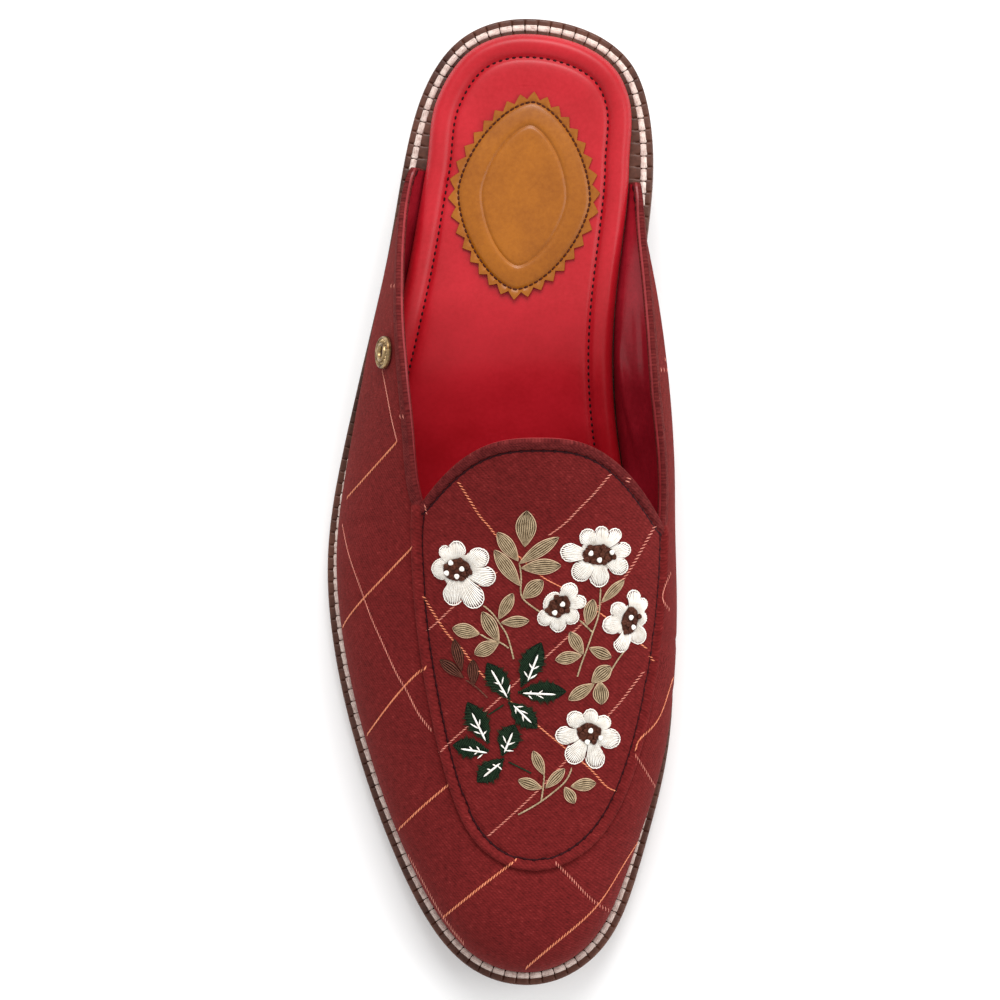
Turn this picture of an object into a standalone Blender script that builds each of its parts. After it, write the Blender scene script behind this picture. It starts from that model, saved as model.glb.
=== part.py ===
"""Backless loafer mule for the right foot, flat heel, stitched welt, aproned vamp.

Metres, +Z up. The toe points to -Y, the medial side is +X, and the shoe stands on z = 0
with its origin under the middle of its outline.
"""

import math
from collections import namedtuple

import bmesh
import bpy
import numpy as np
from mathutils import Matrix, Vector

MM = 0.001

# Driving dimensions of the sole
LENGTH = 270 * MM
BALL_WIDTH = 96 * MM
SPINE_OFFSET = 0.0756 * BALL_WIDTH  # the heel-to-toe line lies this far to the medial side
HEEL_LIFT = 19 * MM
TOE_SPRING = 8 * MM
OUTSOLE_THICKNESS = 4.5 * MM
WELT_THICKNESS = 3.2 * MM
WELT_LEDGE = 4.6 * MM  # welt that shows beyond the upper
STITCH_CHANNEL_DEPTH = 0.5 * MM
STITCH_CHANNEL_WIDTH = 1.7 * MM
STITCH_LINE = 2.6 * MM  # middle of the stitch channel, in from the welt's edge
EDGE_ROUND = 0.7 * MM
GAP = 0.35 * MM

# Driving dimensions of the heel
HEEL_BREAST = 0.265  # share of the length, from the back
HEEL_TAPER = 1.6 * MM
BREAST_HOLLOW = 4 * MM
TOP_PIECE_THICKNESS = 5 * MM

# Driving dimensions of the upper
INSTEP_HEIGHT = 57 * MM  # crown above the feather line at the throat
UPPER_WALL = 1.9 * MM
TOE_ROUND = 27 * MM
SECTION_SQUARENESS = 2.2
APRON_HALF = 0.36  # share of the ball width
APRON_FRONT = 0.874
NOTCH_LATERAL = 0.501
NOTCH_MEDIAL = 0.528
THROAT_RISE = 17.4 * MM
THROAT_FULLNESS = 2.8
REAR_TIP_LATERAL = 0.155
REAR_TIP_MEDIAL = 0.170
SEAM_WIDTH = 2.3 * MM
SEAM_RAISE = 0.9 * MM
BINDING_WIDTH = 3.3 * MM
BINDING_RAISE = 0.5 * MM
BINDING_STEP = 0.35 * MM
THROAT_BINDING = 2.5 * MM

# Driving dimensions of the footbed, patch and rivet
FOOTBED_THICKNESS = 5.0 * MM
FOOTBED_RIM_WIDTH = 6.6 * MM
FOOTBED_RIM_RAISE = 0.9 * MM
FOOTBED_GROOVE_DEPTH = 0.7 * MM
FOOTBED_CLEARANCE = 0.4 * MM
PATCH_LENGTH = 52 * MM  # along the stitched oval
PATCH_WIDTH = 36.5 * MM
PATCH_CENTRE = 0.184
PATCH_TURN = math.radians(-5.6)
PATCH_THICKNESS = 1.2 * MM
PATCH_SQUARENESS = 1.6
PATCH_TEETH = 34
PATCH_MARGIN = 1.0 * MM
TOOTH_DEPTH = 2.0 * MM
RIVET_RADIUS = 4.5 * MM
RIVET_HEIGHT = 1.5 * MM
RIVET_HOLE = 1.5 * MM
RIVET_ALONG = 0.350
RIVET_RISE = 0.48  # share of the instep height

# Mesh fineness
STATIONS = 60
REAR_CHAINS = 11
FRONT_CHAINS = 27
WALL_STEPS = 7
APRON_STEPS = 7
PATH_POINTS = 260
TUCK_POINTS = 64

Outline = namedtuple("Outline", "along lateral medial")
# Half widths from the spine line, as shares of the ball width
OUTLINE = [
    Outline(0.0000, 0.000, 0.000),
    Outline(0.0154, 0.164, 0.199),
    Outline(0.0443, 0.248, 0.303),
    Outline(0.0854, 0.306, 0.353),
    Outline(0.1678, 0.361, 0.370),
    Outline(0.2600, 0.408, 0.342),
    Outline(0.3524, 0.471, 0.322),
    Outline(0.4455, 0.539, 0.341),
    Outline(0.5392, 0.586, 0.388),
    Outline(0.6437, 0.573, 0.424),
    Outline(0.7482, 0.509, 0.416),
    Outline(0.8523, 0.407, 0.350),
    Outline(0.9140, 0.325, 0.296),
    Outline(0.9550, 0.249, 0.237),
    Outline(0.9830, 0.163, 0.155),
    Outline(1.0000, 0.000, 0.000),
]

Tread = namedtuple("Tread", "along lift spring")
# Underside of the outsole, as shares of the heel lift and of the toe spring
TREAD = [
    Tread(0.00, 1.00, 0.00),
    Tread(0.29, 1.00, 0.00),
    Tread(0.35, 0.84, 0.00),
    Tread(0.41, 0.51, 0.00),
    Tread(0.48, 0.16, 0.00),
    Tread(0.54, 0.00, 0.00),
    Tread(0.74, 0.00, 0.00),
    Tread(0.80, 0.00, 0.07),
    Tread(0.87, 0.00, 0.27),
    Tread(0.94, 0.00, 0.62),
    Tread(1.00, 0.00, 1.00),
]

Section = namedtuple(
    "Section", "along crown ridge out_lateral out_medial rise_lateral rise_medial steep_lateral steep_medial"
)
# Crown and height of the widest point as shares of the instep height, ridge offset and
# outward reach beyond the feather line as shares of the ball width, steepness as an exponent
SECTIONS = [
    Section(0.12, 1.16, 0.049, 0.012, 0.006, 0.05, 0.04, 1.1, 1.1),
    Section(0.20, 1.16, 0.049, 0.036, 0.026, 0.08, 0.06, 1.1, 1.0),
    Section(0.26, 1.14, 0.049, 0.041, 0.078, 0.12, 0.10, 1.13, 1.0),
    Section(0.33, 1.10, 0.049, 0.036, 0.128, 0.17, 0.185, 1.16, 1.05),
    Section(0.40, 1.06, 0.049, 0.026, 0.145, 0.20, 0.25, 1.2, 1.28),
    Section(0.47, 1.01, 0.049, 0.018, 0.131, 0.20, 0.28, 1.38, 1.8),
    Section(0.53, 0.94, 0.049, 0.014, 0.101, 0.19, 0.29, 1.6, 2.0),
    Section(0.60, 0.85, 0.049, 0.010, 0.075, 0.18, 0.25, 1.7, 2.0),
    Section(0.68, 0.75, 0.049, 0.008, 0.053, 0.16, 0.22, 1.8, 2.0),
    Section(0.76, 0.65, 0.046, 0.008, 0.039, 0.14, 0.20, 1.9, 2.0),
    Section(0.84, 0.56, 0.036, 0.008, 0.025, 0.13, 0.16, 2.0, 2.0),
    Section(0.92, 0.48, 0.020, 0.005, 0.012, 0.12, 0.13, 2.0, 2.0),
    Section(1.00, 0.40, 0.000, 0.002, 0.003, 0.11, 0.11, 2.0, 2.0),
]

Apron = namedtuple("Apron", "depth half")
# Depth from the notches to the front of the apron, half width as a share of its greatest
APRON = [
    Apron(0.000, 1.000),
    Apron(0.120, 1.000),
    Apron(0.330, 0.960),
    Apron(0.550, 0.865),
    Apron(0.765, 0.708),
    Apron(0.860, 0.592),
    Apron(0.930, 0.447),
    Apron(0.975, 0.275),
    Apron(1.000, 0.000),
]

Collar = namedtuple("Collar", "back height")
# From the notch back to the rear tip, height as a share of the notch's height
COLLAR = [
    Collar(0.00, 1.00),
    Collar(0.20, 0.93),
    Collar(0.42, 0.78),
    Collar(0.62, 0.57),
    Collar(0.80, 0.32),
    Collar(0.92, 0.14),
    Collar(1.00, 0.05),
]


# Curves through tables

def column(table, name):
    return np.array([getattr(row, name) for row in table])


def eased(xs, ys, x):
    """Cubic curve through the points that never overshoots them, so flats stay flat."""
    step = np.diff(xs)
    slope = np.diff(ys) / step
    tangent = np.concatenate([[slope[0]], np.zeros(len(xs) - 2), [slope[-1]]])
    for i in range(1, len(xs) - 1):
        if slope[i - 1] * slope[i] > 0:
            before = 2 * step[i] + step[i - 1]
            after = step[i] + 2 * step[i - 1]
            tangent[i] = (before + after) / (before / slope[i - 1] + after / slope[i])
    i = np.clip(np.searchsorted(xs, x, side="right") - 1, 0, len(xs) - 2)
    t = np.clip((x - xs[i]) / step[i], 0, 1)
    return (
        ys[i] * (1 + 2 * t) * (1 - t) ** 2
        + tangent[i] * step[i] * t * (1 - t) ** 2
        + ys[i + 1] * t**2 * (3 - 2 * t)
        - tangent[i + 1] * step[i] * t**2 * (1 - t)
    )


def spline(xs, ys, x):
    """Natural cubic spline through the points, with an even change of curvature."""
    count = len(xs)
    step = np.diff(xs)
    matrix = np.eye(count)
    right = np.zeros(count)
    for i in range(1, count - 1):
        matrix[i, i - 1 : i + 2] = step[i - 1], 2 * (step[i - 1] + step[i]), step[i]
        right[i] = 6 * ((ys[i + 1] - ys[i]) / step[i] - (ys[i] - ys[i - 1]) / step[i - 1])
    bend = np.linalg.solve(matrix, right)
    i = np.clip(np.searchsorted(xs, x, side="right") - 1, 0, count - 2)
    before, after = xs[i + 1] - x, x - xs[i]
    return (
        (bend[i] * before**3 + bend[i + 1] * after**3) / (6 * step[i])
        + (ys[i] / step[i] - bend[i] * step[i] / 6) * before
        + (ys[i + 1] / step[i] - bend[i + 1] * step[i] / 6) * after
    )


def turn(along):
    """Angle-like station in which a round end of an outline is a straight line."""
    return np.arccos(np.clip(1 - 2 * np.asarray(along, float), -1, 1)) / math.pi


def unturn(t):
    return (1 - np.cos(math.pi * np.asarray(t, float))) / 2


def along_of(y):
    return 0.5 - np.asarray(y, float) / LENGTH


def y_of(along):
    return LENGTH * (0.5 - np.asarray(along, float))


# The sole's outline and side profile

def outline_half(side, count):
    """Points of the lateral or medial half of the outline, from the heel to the toe."""
    t = np.linspace(0, 1, count)
    half = spline(turn(column(OUTLINE, "along")), column(OUTLINE, side), t) * BALL_WIDTH
    sign = -1 if side == "lateral" else 1
    return np.column_stack([SPINE_OFFSET + sign * np.maximum(half, 0), y_of(unturn(t))])


def outline_loop(count=400):
    """The closed outline, counter-clockwise from the back of the heel, with its outward normals."""
    lateral = outline_half("lateral", count)
    medial = outline_half("medial", count)[::-1]
    loop = np.vstack([lateral, medial[1:-1]])
    ahead = np.roll(loop, -1, axis=0) - np.roll(loop, 1, axis=0)
    normal = np.column_stack([ahead[:, 1], -ahead[:, 0]])
    return loop, normal / np.linalg.norm(normal, axis=1)[:, None]


def moved_loop(inset):
    """The outline moved in by a length, or by a length for each station along the sole."""
    loop, normal = outline_loop()
    by = inset(along_of(loop[:, 1])) if callable(inset) else inset
    return loop - normal * np.reshape(by, (-1, 1))


def loop_halves(loop):
    """Lateral and medial halves of a closed loop, each ordered from the heel to the toe."""
    heel, toe = np.argmax(loop[:, 1]), np.argmin(loop[:, 1])
    turned = np.roll(loop, -heel, axis=0)
    toe = (toe - heel) % len(loop)
    return turned[: toe + 1], np.vstack([turned[toe:], turned[:1]])[::-1]


def x_on(half, y):
    return np.interp(-np.asarray(y, float), -half[:, 1], half[:, 0])


def tread(y):
    """Height of the outsole's underside."""
    along = along_of(y)
    stations = column(TREAD, "along")
    lift = eased(stations, column(TREAD, "lift"), along)
    spring = eased(stations, column(TREAD, "spring"), along)
    return HEEL_LIFT * lift + TOE_SPRING * spring


WELT_BASE = OUTSOLE_THICKNESS + GAP
FEATHER = WELT_BASE + WELT_THICKNESS + GAP  # top of the welt, with a gap, above the underside


def feather(y):
    return tread(y) + FEATHER


# Building blocks

def material(name, colour, roughness, metallic=0.0):
    made = bpy.data.materials.new(name)
    made.use_nodes = True
    shader = made.node_tree.nodes["Principled BSDF"]
    shader.inputs["Base Color"].default_value = (*colour, 1)
    shader.inputs["Roughness"].default_value = roughness
    shader.inputs["Metallic"].default_value = metallic
    made.diffuse_color = (*colour, 1)
    return made


def mesh_object(name, points, faces, finish, crease=40):
    mesh = bpy.data.meshes.new(name)
    mesh.from_pydata([tuple(map(float, p)) for p in points], [], faces)
    work = bmesh.new()
    work.from_mesh(mesh)
    bmesh.ops.remove_doubles(work, verts=work.verts, dist=1e-6)
    bmesh.ops.recalc_face_normals(work, faces=work.faces)
    work.to_mesh(mesh)
    work.free()
    mesh.shade_smooth()
    mesh.set_sharp_from_angle(angle=math.radians(crease))
    mesh.materials.append(finish)
    made = bpy.data.objects.new(name, mesh)
    bpy.context.scene.collection.objects.link(made)
    return made


def ring(inset, height):
    """One level of a layer: stations paired left and right, height a function of y."""
    lateral, medial = loop_halves(moved_loop(inset))
    back, front = lateral[0, 1], lateral[-1, 1]
    ys = back + (front - back) * unturn(np.linspace(0, 1, STATIONS + 1))
    left = np.column_stack([x_on(lateral, ys), ys, height(ys)])
    right = np.column_stack([x_on(medial, ys), ys, height(ys)])
    return np.vstack([left, right[-2:0:-1]])


def layer(name, levels, finish):
    """Closed slab from its lowest level to its highest, capped by strips across the sole."""
    rings = [ring(inset, height) for inset, height in levels]
    count = len(rings[0])
    faces = []
    for level in range(len(rings) - 1):
        low, high = level * count, (level + 1) * count
        for i in range(count):
            j = (i + 1) % count
            faces.append((low + i, low + j, high + j, high + i))
    for base, flip in ((0, True), ((len(rings) - 1) * count, False)):
        for i in range(STATIONS):
            across = [i, i + 1, (count - i - 1) % count, (count - i) % count]
            corners = [base + k for k in dict.fromkeys(across)]
            faces.append(tuple(corners[::-1] if flip else corners))
    return mesh_object(name, np.vstack(rings), faces, finish)


def above(offset, base=tread):
    return lambda y: base(y) + offset


def build_outsole(finish):
    return layer(
        "outsole",
        [
            (EDGE_ROUND, above(0)),
            (0, above(EDGE_ROUND)),
            (0, above(OUTSOLE_THICKNESS)),
        ],
        finish,
    )


def build_welt(finish):
    top = WELT_BASE + WELT_THICKNESS
    channel_out = STITCH_LINE - STITCH_CHANNEL_WIDTH / 2
    channel_in = STITCH_LINE + STITCH_CHANNEL_WIDTH / 2
    slope = STITCH_CHANNEL_DEPTH / 2
    return layer(
        "welt",
        [
            (EDGE_ROUND / 2, above(WELT_BASE)),
            (0, above(WELT_BASE + EDGE_ROUND)),
            (0, above(top - EDGE_ROUND)),
            (EDGE_ROUND, above(top)),
            (channel_out, above(top)),
            (channel_out + slope, above(top - STITCH_CHANNEL_DEPTH)),
            (channel_in - slope, above(top - STITCH_CHANNEL_DEPTH)),
            (channel_in, above(top)),
        ],
        finish,
    )


def heel_ring(inset, height):
    """Heel-block outline: the sole's back, closed by a hollowed breast."""
    lateral, medial = loop_halves(moved_loop(inset))
    back = lateral[0, 1]
    breast = float(y_of(HEEL_BREAST)) + inset
    ys = back + (breast - back) * np.sin(np.linspace(0, math.pi / 2, STATIONS // 2)) ** 2
    left = np.column_stack([x_on(lateral, ys), ys])
    right = np.column_stack([x_on(medial, ys), ys])
    share = np.linspace(0, 1, 9)[1:-1]
    hollow = np.column_stack(
        [
            left[-1, 0] + (right[-1, 0] - left[-1, 0]) * share,
            breast + BREAST_HOLLOW * np.sin(math.pi * share),
        ]
    )
    plan = np.vstack([left, hollow, right[:0:-1]])
    return np.column_stack([plan, np.full(len(plan), height)])


def heel_layer(name, levels, finish):
    rings = [heel_ring(inset, height) for inset, height in levels]
    count = len(rings[0])
    faces = [tuple(range(count))[::-1], tuple(range((len(rings) - 1) * count, len(rings) * count))]
    for level in range(len(rings) - 1):
        low, high = level * count, (level + 1) * count
        faces += [(low + i, low + (i + 1) % count, high + (i + 1) % count, high + i) for i in range(count)]
    return mesh_object(name, np.vstack(rings), faces, finish)


def build_heel(stack_finish, rubber_finish):
    foot = HEEL_TAPER + EDGE_ROUND
    heel_layer(
        "heel_top_piece",
        [
            (foot + EDGE_ROUND / 2, 0.0),
            (foot, EDGE_ROUND / 2),
            (foot, TOP_PIECE_THICKNESS),
        ],
        rubber_finish,
    )
    heel_layer(
        "heel_stack",
        [
            (foot, TOP_PIECE_THICKNESS + GAP),
            (foot - HEEL_TAPER / 2, (TOP_PIECE_THICKNESS + HEEL_LIFT) / 2),
            (EDGE_ROUND, HEEL_LIFT - GAP),
        ],
        stack_finish,
    )


def footbed_inset(along):
    """Close to the welt's ledge behind the upper's rear tips, and inside its wall in front."""
    open_inset = WELT_LEDGE
    lasted_inset = WELT_LEDGE + UPPER_WALL + FOOTBED_CLEARANCE
    start, end = 0.74 * REAR_TIP_LATERAL, 0.985 * REAR_TIP_LATERAL
    share = np.clip((along - start) / (end - start), 0, 1)
    return open_inset + (lasted_inset - open_inset) * share**2 * (3 - 2 * share)


def further_in(length):
    return lambda along: footbed_inset(along) + length


def build_footbed(finish):
    seat = FEATHER
    edge = seat + FOOTBED_THICKNESS
    rim = FOOTBED_RIM_WIDTH
    crest = FOOTBED_RIM_RAISE
    return layer(
        "footbed",
        [
            (further_in(0.25 * rim), above(seat)),
            (further_in(0.06 * rim), above(seat + 0.15 * FOOTBED_THICKNESS)),
            (further_in(0), above(seat + 0.5 * FOOTBED_THICKNESS)),
            (further_in(0.08 * rim), above(edge - 0.1 * FOOTBED_THICKNESS)),
            (further_in(0.28 * rim), above(edge + 0.8 * crest)),
            (further_in(0.52 * rim), above(edge + crest)),
            (further_in(0.78 * rim), above(edge + 0.5 * crest)),
            (further_in(rim), above(edge - FOOTBED_GROOVE_DEPTH)),
            (further_in(1.2 * rim), above(edge - 0.2 * FOOTBED_GROOVE_DEPTH)),
            (further_in(1.6 * rim), above(edge)),
        ],
        finish,
    )


# The upper's surface

def section(name, y):
    return spline(column(SECTIONS, "along"), column(SECTIONS, name), along_of(y))


class Last:
    """Outer form of the upper: widest line, crown and ridge, and its height at a plan point."""

    def __init__(self):
        loop, normal = outline_loop()
        self.normal = normal
        self.foot = loop - normal * WELT_LEDGE
        lateral = loop[:, 0] < SPINE_OFFSET
        reach = np.where(
            lateral, section("out_lateral", loop[:, 1]), section("out_medial", loop[:, 1])
        )
        blend = self.end_blend(loop)
        mean = (section("out_lateral", loop[:, 1]) + section("out_medial", loop[:, 1])) / 2
        self.widest = self.foot + normal * ((reach * (1 - blend) + mean * blend) * BALL_WIDTH)[:, None]
        self.halves = loop_halves(self.widest)
        self.toe = self.widest[:, 1].min()

    @staticmethod
    def end_blend(loop):
        """1 on the spine line at the toe and heel, 0 at the sides, so both sides meet evenly."""
        off = np.abs(loop[:, 0] - SPINE_OFFSET) / (0.25 * BALL_WIDTH)
        return np.clip(1 - off, 0, 1) ** 2

    def ridge(self, y):
        return SPINE_OFFSET + section("ridge", y) * BALL_WIDTH

    def rise(self, x, y):
        """Height of the widest point above the feather line, on the side of x."""
        share = np.clip(0.5 + (x - self.ridge(y)) / (0.4 * BALL_WIDTH), 0, 1)
        share = share**2 * (3 - 2 * share)
        lateral, medial = section("rise_lateral", y), section("rise_medial", y)
        return INSTEP_HEIGHT * (lateral * (1 - share) + medial * share)

    def crown(self, x, y):
        """Crown above the feather line, rounded down to the widest line at the toe."""
        low = self.rise(x, y)
        near = np.clip((y - self.toe) / TOE_ROUND, 0, 1)
        rounding = (1 - (1 - near) ** 2.4) ** (1 / 2.2)
        return low + (INSTEP_HEIGHT * section("crown", y) - low) * rounding

    def height(self, x, y):
        """Height above the feather line of the surface over a plan point."""
        ridge = self.ridge(y)
        medial = x > ridge
        reach = np.where(medial, x_on(self.halves[1], y) - ridge, ridge - x_on(self.halves[0], y))
        steep = np.where(medial, section("steep_medial", y), section("steep_lateral", y))
        off = np.clip(np.abs(x - ridge) / np.maximum(reach, 1e-6), 0, 1)
        arch = (1 - off**SECTION_SQUARENESS) ** (1 / steep)
        low = self.rise(x, y)
        return low + (self.crown(x, y) - low) * arch

    def point(self, x, y):
        return np.array([x, y, feather(y) + self.height(x, y)])

    def path(self, foot, wide, target):
        """Dense path on the surface: up the tuck from the feather line, then over to a plan point."""
        t = np.linspace(0, 1, TUCK_POINTS + 1)[:-1]
        rise = float(self.rise(wide[0], wide[1]))
        plan = foot + (wide - foot) * np.sin(t * math.pi / 2)[:, None]
        low = np.column_stack([plan, feather(plan[:, 1]) + rise * t])
        t = 1 - np.cos(np.linspace(0, 1, PATH_POINTS) * math.pi / 2)
        plan = wide + (target - wide) * t[:, None]
        high = np.column_stack([plan, feather(plan[:, 1]) + self.height(plan[:, 0], plan[:, 1])])
        return np.vstack([low, high])


def lengths(path):
    steps = np.linalg.norm(np.diff(path, axis=0), axis=1)
    return np.concatenate([[0], np.cumsum(steps)])


def at_length(path, where):
    run = lengths(path)
    return np.column_stack([np.interp(where, run, path[:, k]) for k in range(3)])


def first_crossing(values, run):
    """Length along a path at which values first fall below zero."""
    below = np.nonzero(values < 0)[0]
    if not len(below):
        return run[-1]
    i = max(int(below[0]), 1)
    share = values[i - 1] / (values[i - 1] - values[i])
    return run[i - 1] + (run[i] - run[i - 1]) * min(max(share, 0), 1)


def apron_half(y):
    """Half width of the apron at y, closing in a round front."""
    notch = y_of((NOTCH_LATERAL + NOTCH_MEDIAL) / 2)
    depth = (notch - np.asarray(y, float)) / (notch - y_of(APRON_FRONT))
    half = spline(turn(column(APRON, "depth")), column(APRON, "half"), turn(np.clip(depth, 0, 1)))
    return np.where(depth >= 1, 0, half) * APRON_HALF * BALL_WIDTH


def chain_stations(last):
    """Length along the foot line at which every chain starts, by block of the upper."""
    foot = last.foot
    count = len(foot)
    run = np.concatenate([[0], np.cumsum(np.linalg.norm(np.diff(foot, axis=0), axis=1))])
    toe = int(np.argmin(foot[:, 1]))

    def where(along, medial):
        part = np.arange(toe, count) if medial else np.arange(0, toe + 1)
        order = part if not medial else part[::-1]
        return float(np.interp(-float(y_of(along)), -foot[order, 1], run[order]))

    def block(start, end, chains):
        return list(np.linspace(start, end, chains + 1))

    marks = {
        "rear_lateral": where(REAR_TIP_LATERAL, False),
        "notch_lateral": where(NOTCH_LATERAL, False),
        "toe": run[toe],
        "notch_medial": where(NOTCH_MEDIAL, True),
        "rear_medial": where(REAR_TIP_MEDIAL, True),
    }
    bind = [0, THROAT_BINDING - BINDING_STEP, THROAT_BINDING]
    lateral = [marks["notch_lateral"] + b for b in bind]
    medial = [marks["notch_medial"] - b for b in bind]
    front = block(lateral[2], marks["toe"], FRONT_CHAINS)
    back = block(medial[2], marks["toe"], FRONT_CHAINS)
    return {
        "run": run,
        "rear_lateral": block(marks["rear_lateral"], marks["notch_lateral"], REAR_CHAINS),
        "lateral": lateral[:2] + front,
        "medial": medial[:2] + back,
        "rear_medial": block(marks["rear_medial"], marks["notch_medial"], REAR_CHAINS),
    }


def chain_start(last, run, where):
    foot = np.array([np.interp(where, run, last.foot[:, k]) for k in range(2)])
    wide = np.array([np.interp(where, run, last.widest[:, k]) for k in range(2)])
    return foot, wide


def fan_target(last, wide):
    """Plan point on the ridge that a chain climbs towards: straight across, or fanned at the toe."""
    fan = float(y_of(0.72))
    reach = 0.05 * LENGTH
    y = wide[1]
    if y < fan:
        y = fan - reach * (1 - math.exp((y - fan) / reach))
    return np.array([float(last.ridge(y)), y])


def front_chain(last, run, where):
    """Chain of points from the feather line over the vamp and across the apron's raised seam."""
    foot, wide = chain_start(last, run, where)
    path = last.path(foot, wide, fan_target(last, wide))
    length = lengths(path)
    inside = np.abs(path[:, 0] - last.ridge(path[:, 1])) - apron_half(path[:, 1])
    inside[: TUCK_POINTS] = BALL_WIDTH
    outer = first_crossing(inside, length)
    near_notch = math.exp(-((y_of(NOTCH_LATERAL) - path[-1, 1]) / (2 * BINDING_WIDTH)) ** 2)
    width = SEAM_WIDTH + (BINDING_WIDTH - SEAM_WIDTH) * near_notch
    seam = outer + width * np.array([0.2, 0.8, 1.0])
    return at_length(path, np.concatenate([np.linspace(0, outer, WALL_STEPS + 1), seam]))


def rear_chain(last, run, where, height):
    """Chain of points up the quarter's wall to its bound topline at a given height."""
    foot, wide = chain_start(last, run, where)
    path = last.path(foot, wide, np.array([float(last.ridge(wide[1])), wide[1]]))
    length = lengths(path)
    top = first_crossing(height - (path[:, 2] - feather(path[:, 1])), length)
    bound = top - min(BINDING_WIDTH, 0.6 * top)
    seam = [bound + min(BINDING_STEP, 0.2 * (top - bound)), (bound + top) / 2, top]
    return at_length(path, np.concatenate([np.linspace(0, bound, WALL_STEPS + 1), seam]))


def throat_curve(lateral, medial, peak, count):
    """Plan points of the throat's arc from the lateral notch over the peak to the medial one."""
    angle = np.linspace(0, math.pi, 2 * count + 1)
    share = (1 - np.cos(angle)) / 2
    arc = 1 - np.abs(2 * share - 1) ** THROAT_FULLNESS
    x = lateral[0] + (medial[0] - lateral[0]) * share
    base = lateral[1] + (medial[1] - lateral[1]) * share
    return np.column_stack([x, base + (peak[1] - base) * arc])


def apron_rows(last, lateral, medial):
    """Rows of plan points across the apron between the inner edges of its seam."""
    count = len(lateral) - 1
    ridge = float(last.ridge(y_of(NOTCH_LATERAL)))
    peak = np.array([ridge, float(y_of(NOTCH_LATERAL)) + THROAT_RISE])
    throat = throat_curve(lateral[0], medial[0], peak, APRON_STEPS)
    rows = [throat]
    along = np.gradient(throat, axis=0)
    inward = np.column_stack([along[:, 1], -along[:, 0]])
    inward /= np.linalg.norm(inward, axis=1)[:, None]
    side = np.abs(np.linspace(-1, 1, 2 * APRON_STEPS + 1))
    left = np.linspace(1, 0, 2 * APRON_STEPS + 1)
    for i, width in ((1, THROAT_BINDING - BINDING_STEP), (2, THROAT_BINDING)):
        row = throat + inward * width
        row += np.outer(side**2 * left, lateral[i] - row[0])
        row += np.outer(side**2 * (1 - left), medial[i] - row[-1])
        rows.append(row)
    middle = APRON_STEPS
    front = np.array([ridge, float(y_of(APRON_FRONT)) + 0.75 * APRON_HALF * BALL_WIDTH])
    top = rows[2]
    v = np.linspace(0, 1, APRON_STEPS + 1)[:, None]
    for i in range(3, count + 1):
        u = (i - 2) / (count - 2)
        spine = top[middle] + (front - top[middle]) * u
        row = []
        for seam, edge in ((lateral, top[: middle + 1]), (medial, top[: middle - 1 : -1])):
            line = (1 - v) * seam[i] + v * spine
            line += (1 - u) * (edge - ((1 - v) * seam[2] + v * top[middle]))
            row.append(line)
        rows.append(np.vstack([row[0], row[1][-2::-1]]))
    return rows


def thicken(points, faces, raised, wall, on_floor):
    """Closed shell: the surface, a copy one wall inside it, and a rim round every open edge."""
    work = bmesh.new()
    layer_raise = work.verts.layers.float.new("raise")
    layer_floor = work.verts.layers.int.new("floor")
    for p, r, f in zip(points, raised, on_floor):
        vert = work.verts.new(tuple(map(float, p)))
        vert[layer_raise] = r
        vert[layer_floor] = int(f)
    work.verts.ensure_lookup_table()
    for face in faces:
        corners = list(dict.fromkeys(face))
        if len(corners) > 2:
            work.faces.new([work.verts[k] for k in corners])
    bmesh.ops.remove_doubles(work, verts=work.verts, dist=2e-6)
    bmesh.ops.dissolve_degenerate(work, edges=work.edges, dist=1e-6)
    bmesh.ops.recalc_face_normals(work, faces=work.faces)
    work.normal_update()
    if sum(f.normal.z * f.calc_area() for f in work.faces) < 0:
        bmesh.ops.reverse_faces(work, faces=work.faces)
        work.normal_update()
    count = len(work.verts)
    work.verts.index_update()
    outer, inner = [], []
    for vert in work.verts:
        normal = vert.normal.copy()
        if vert[layer_floor]:
            normal.z = 0
            normal.normalize()
        outer.append(vert.co + normal * vert[layer_raise])
        inner.append(vert.co - normal * wall)
    shell = []
    for face in work.faces:
        corners = [v.index for v in face.verts]
        shell.append(tuple(corners))
        shell.append(tuple(k + count for k in reversed(corners)))
    for edge in work.edges:
        if len(edge.link_faces) == 1:
            loop = edge.link_loops[0]
            a, b = loop.vert.index, loop.link_loop_next.vert.index
            shell.append((b, a, a + count, b + count))
    work.free()
    return outer + inner, shell


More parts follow.
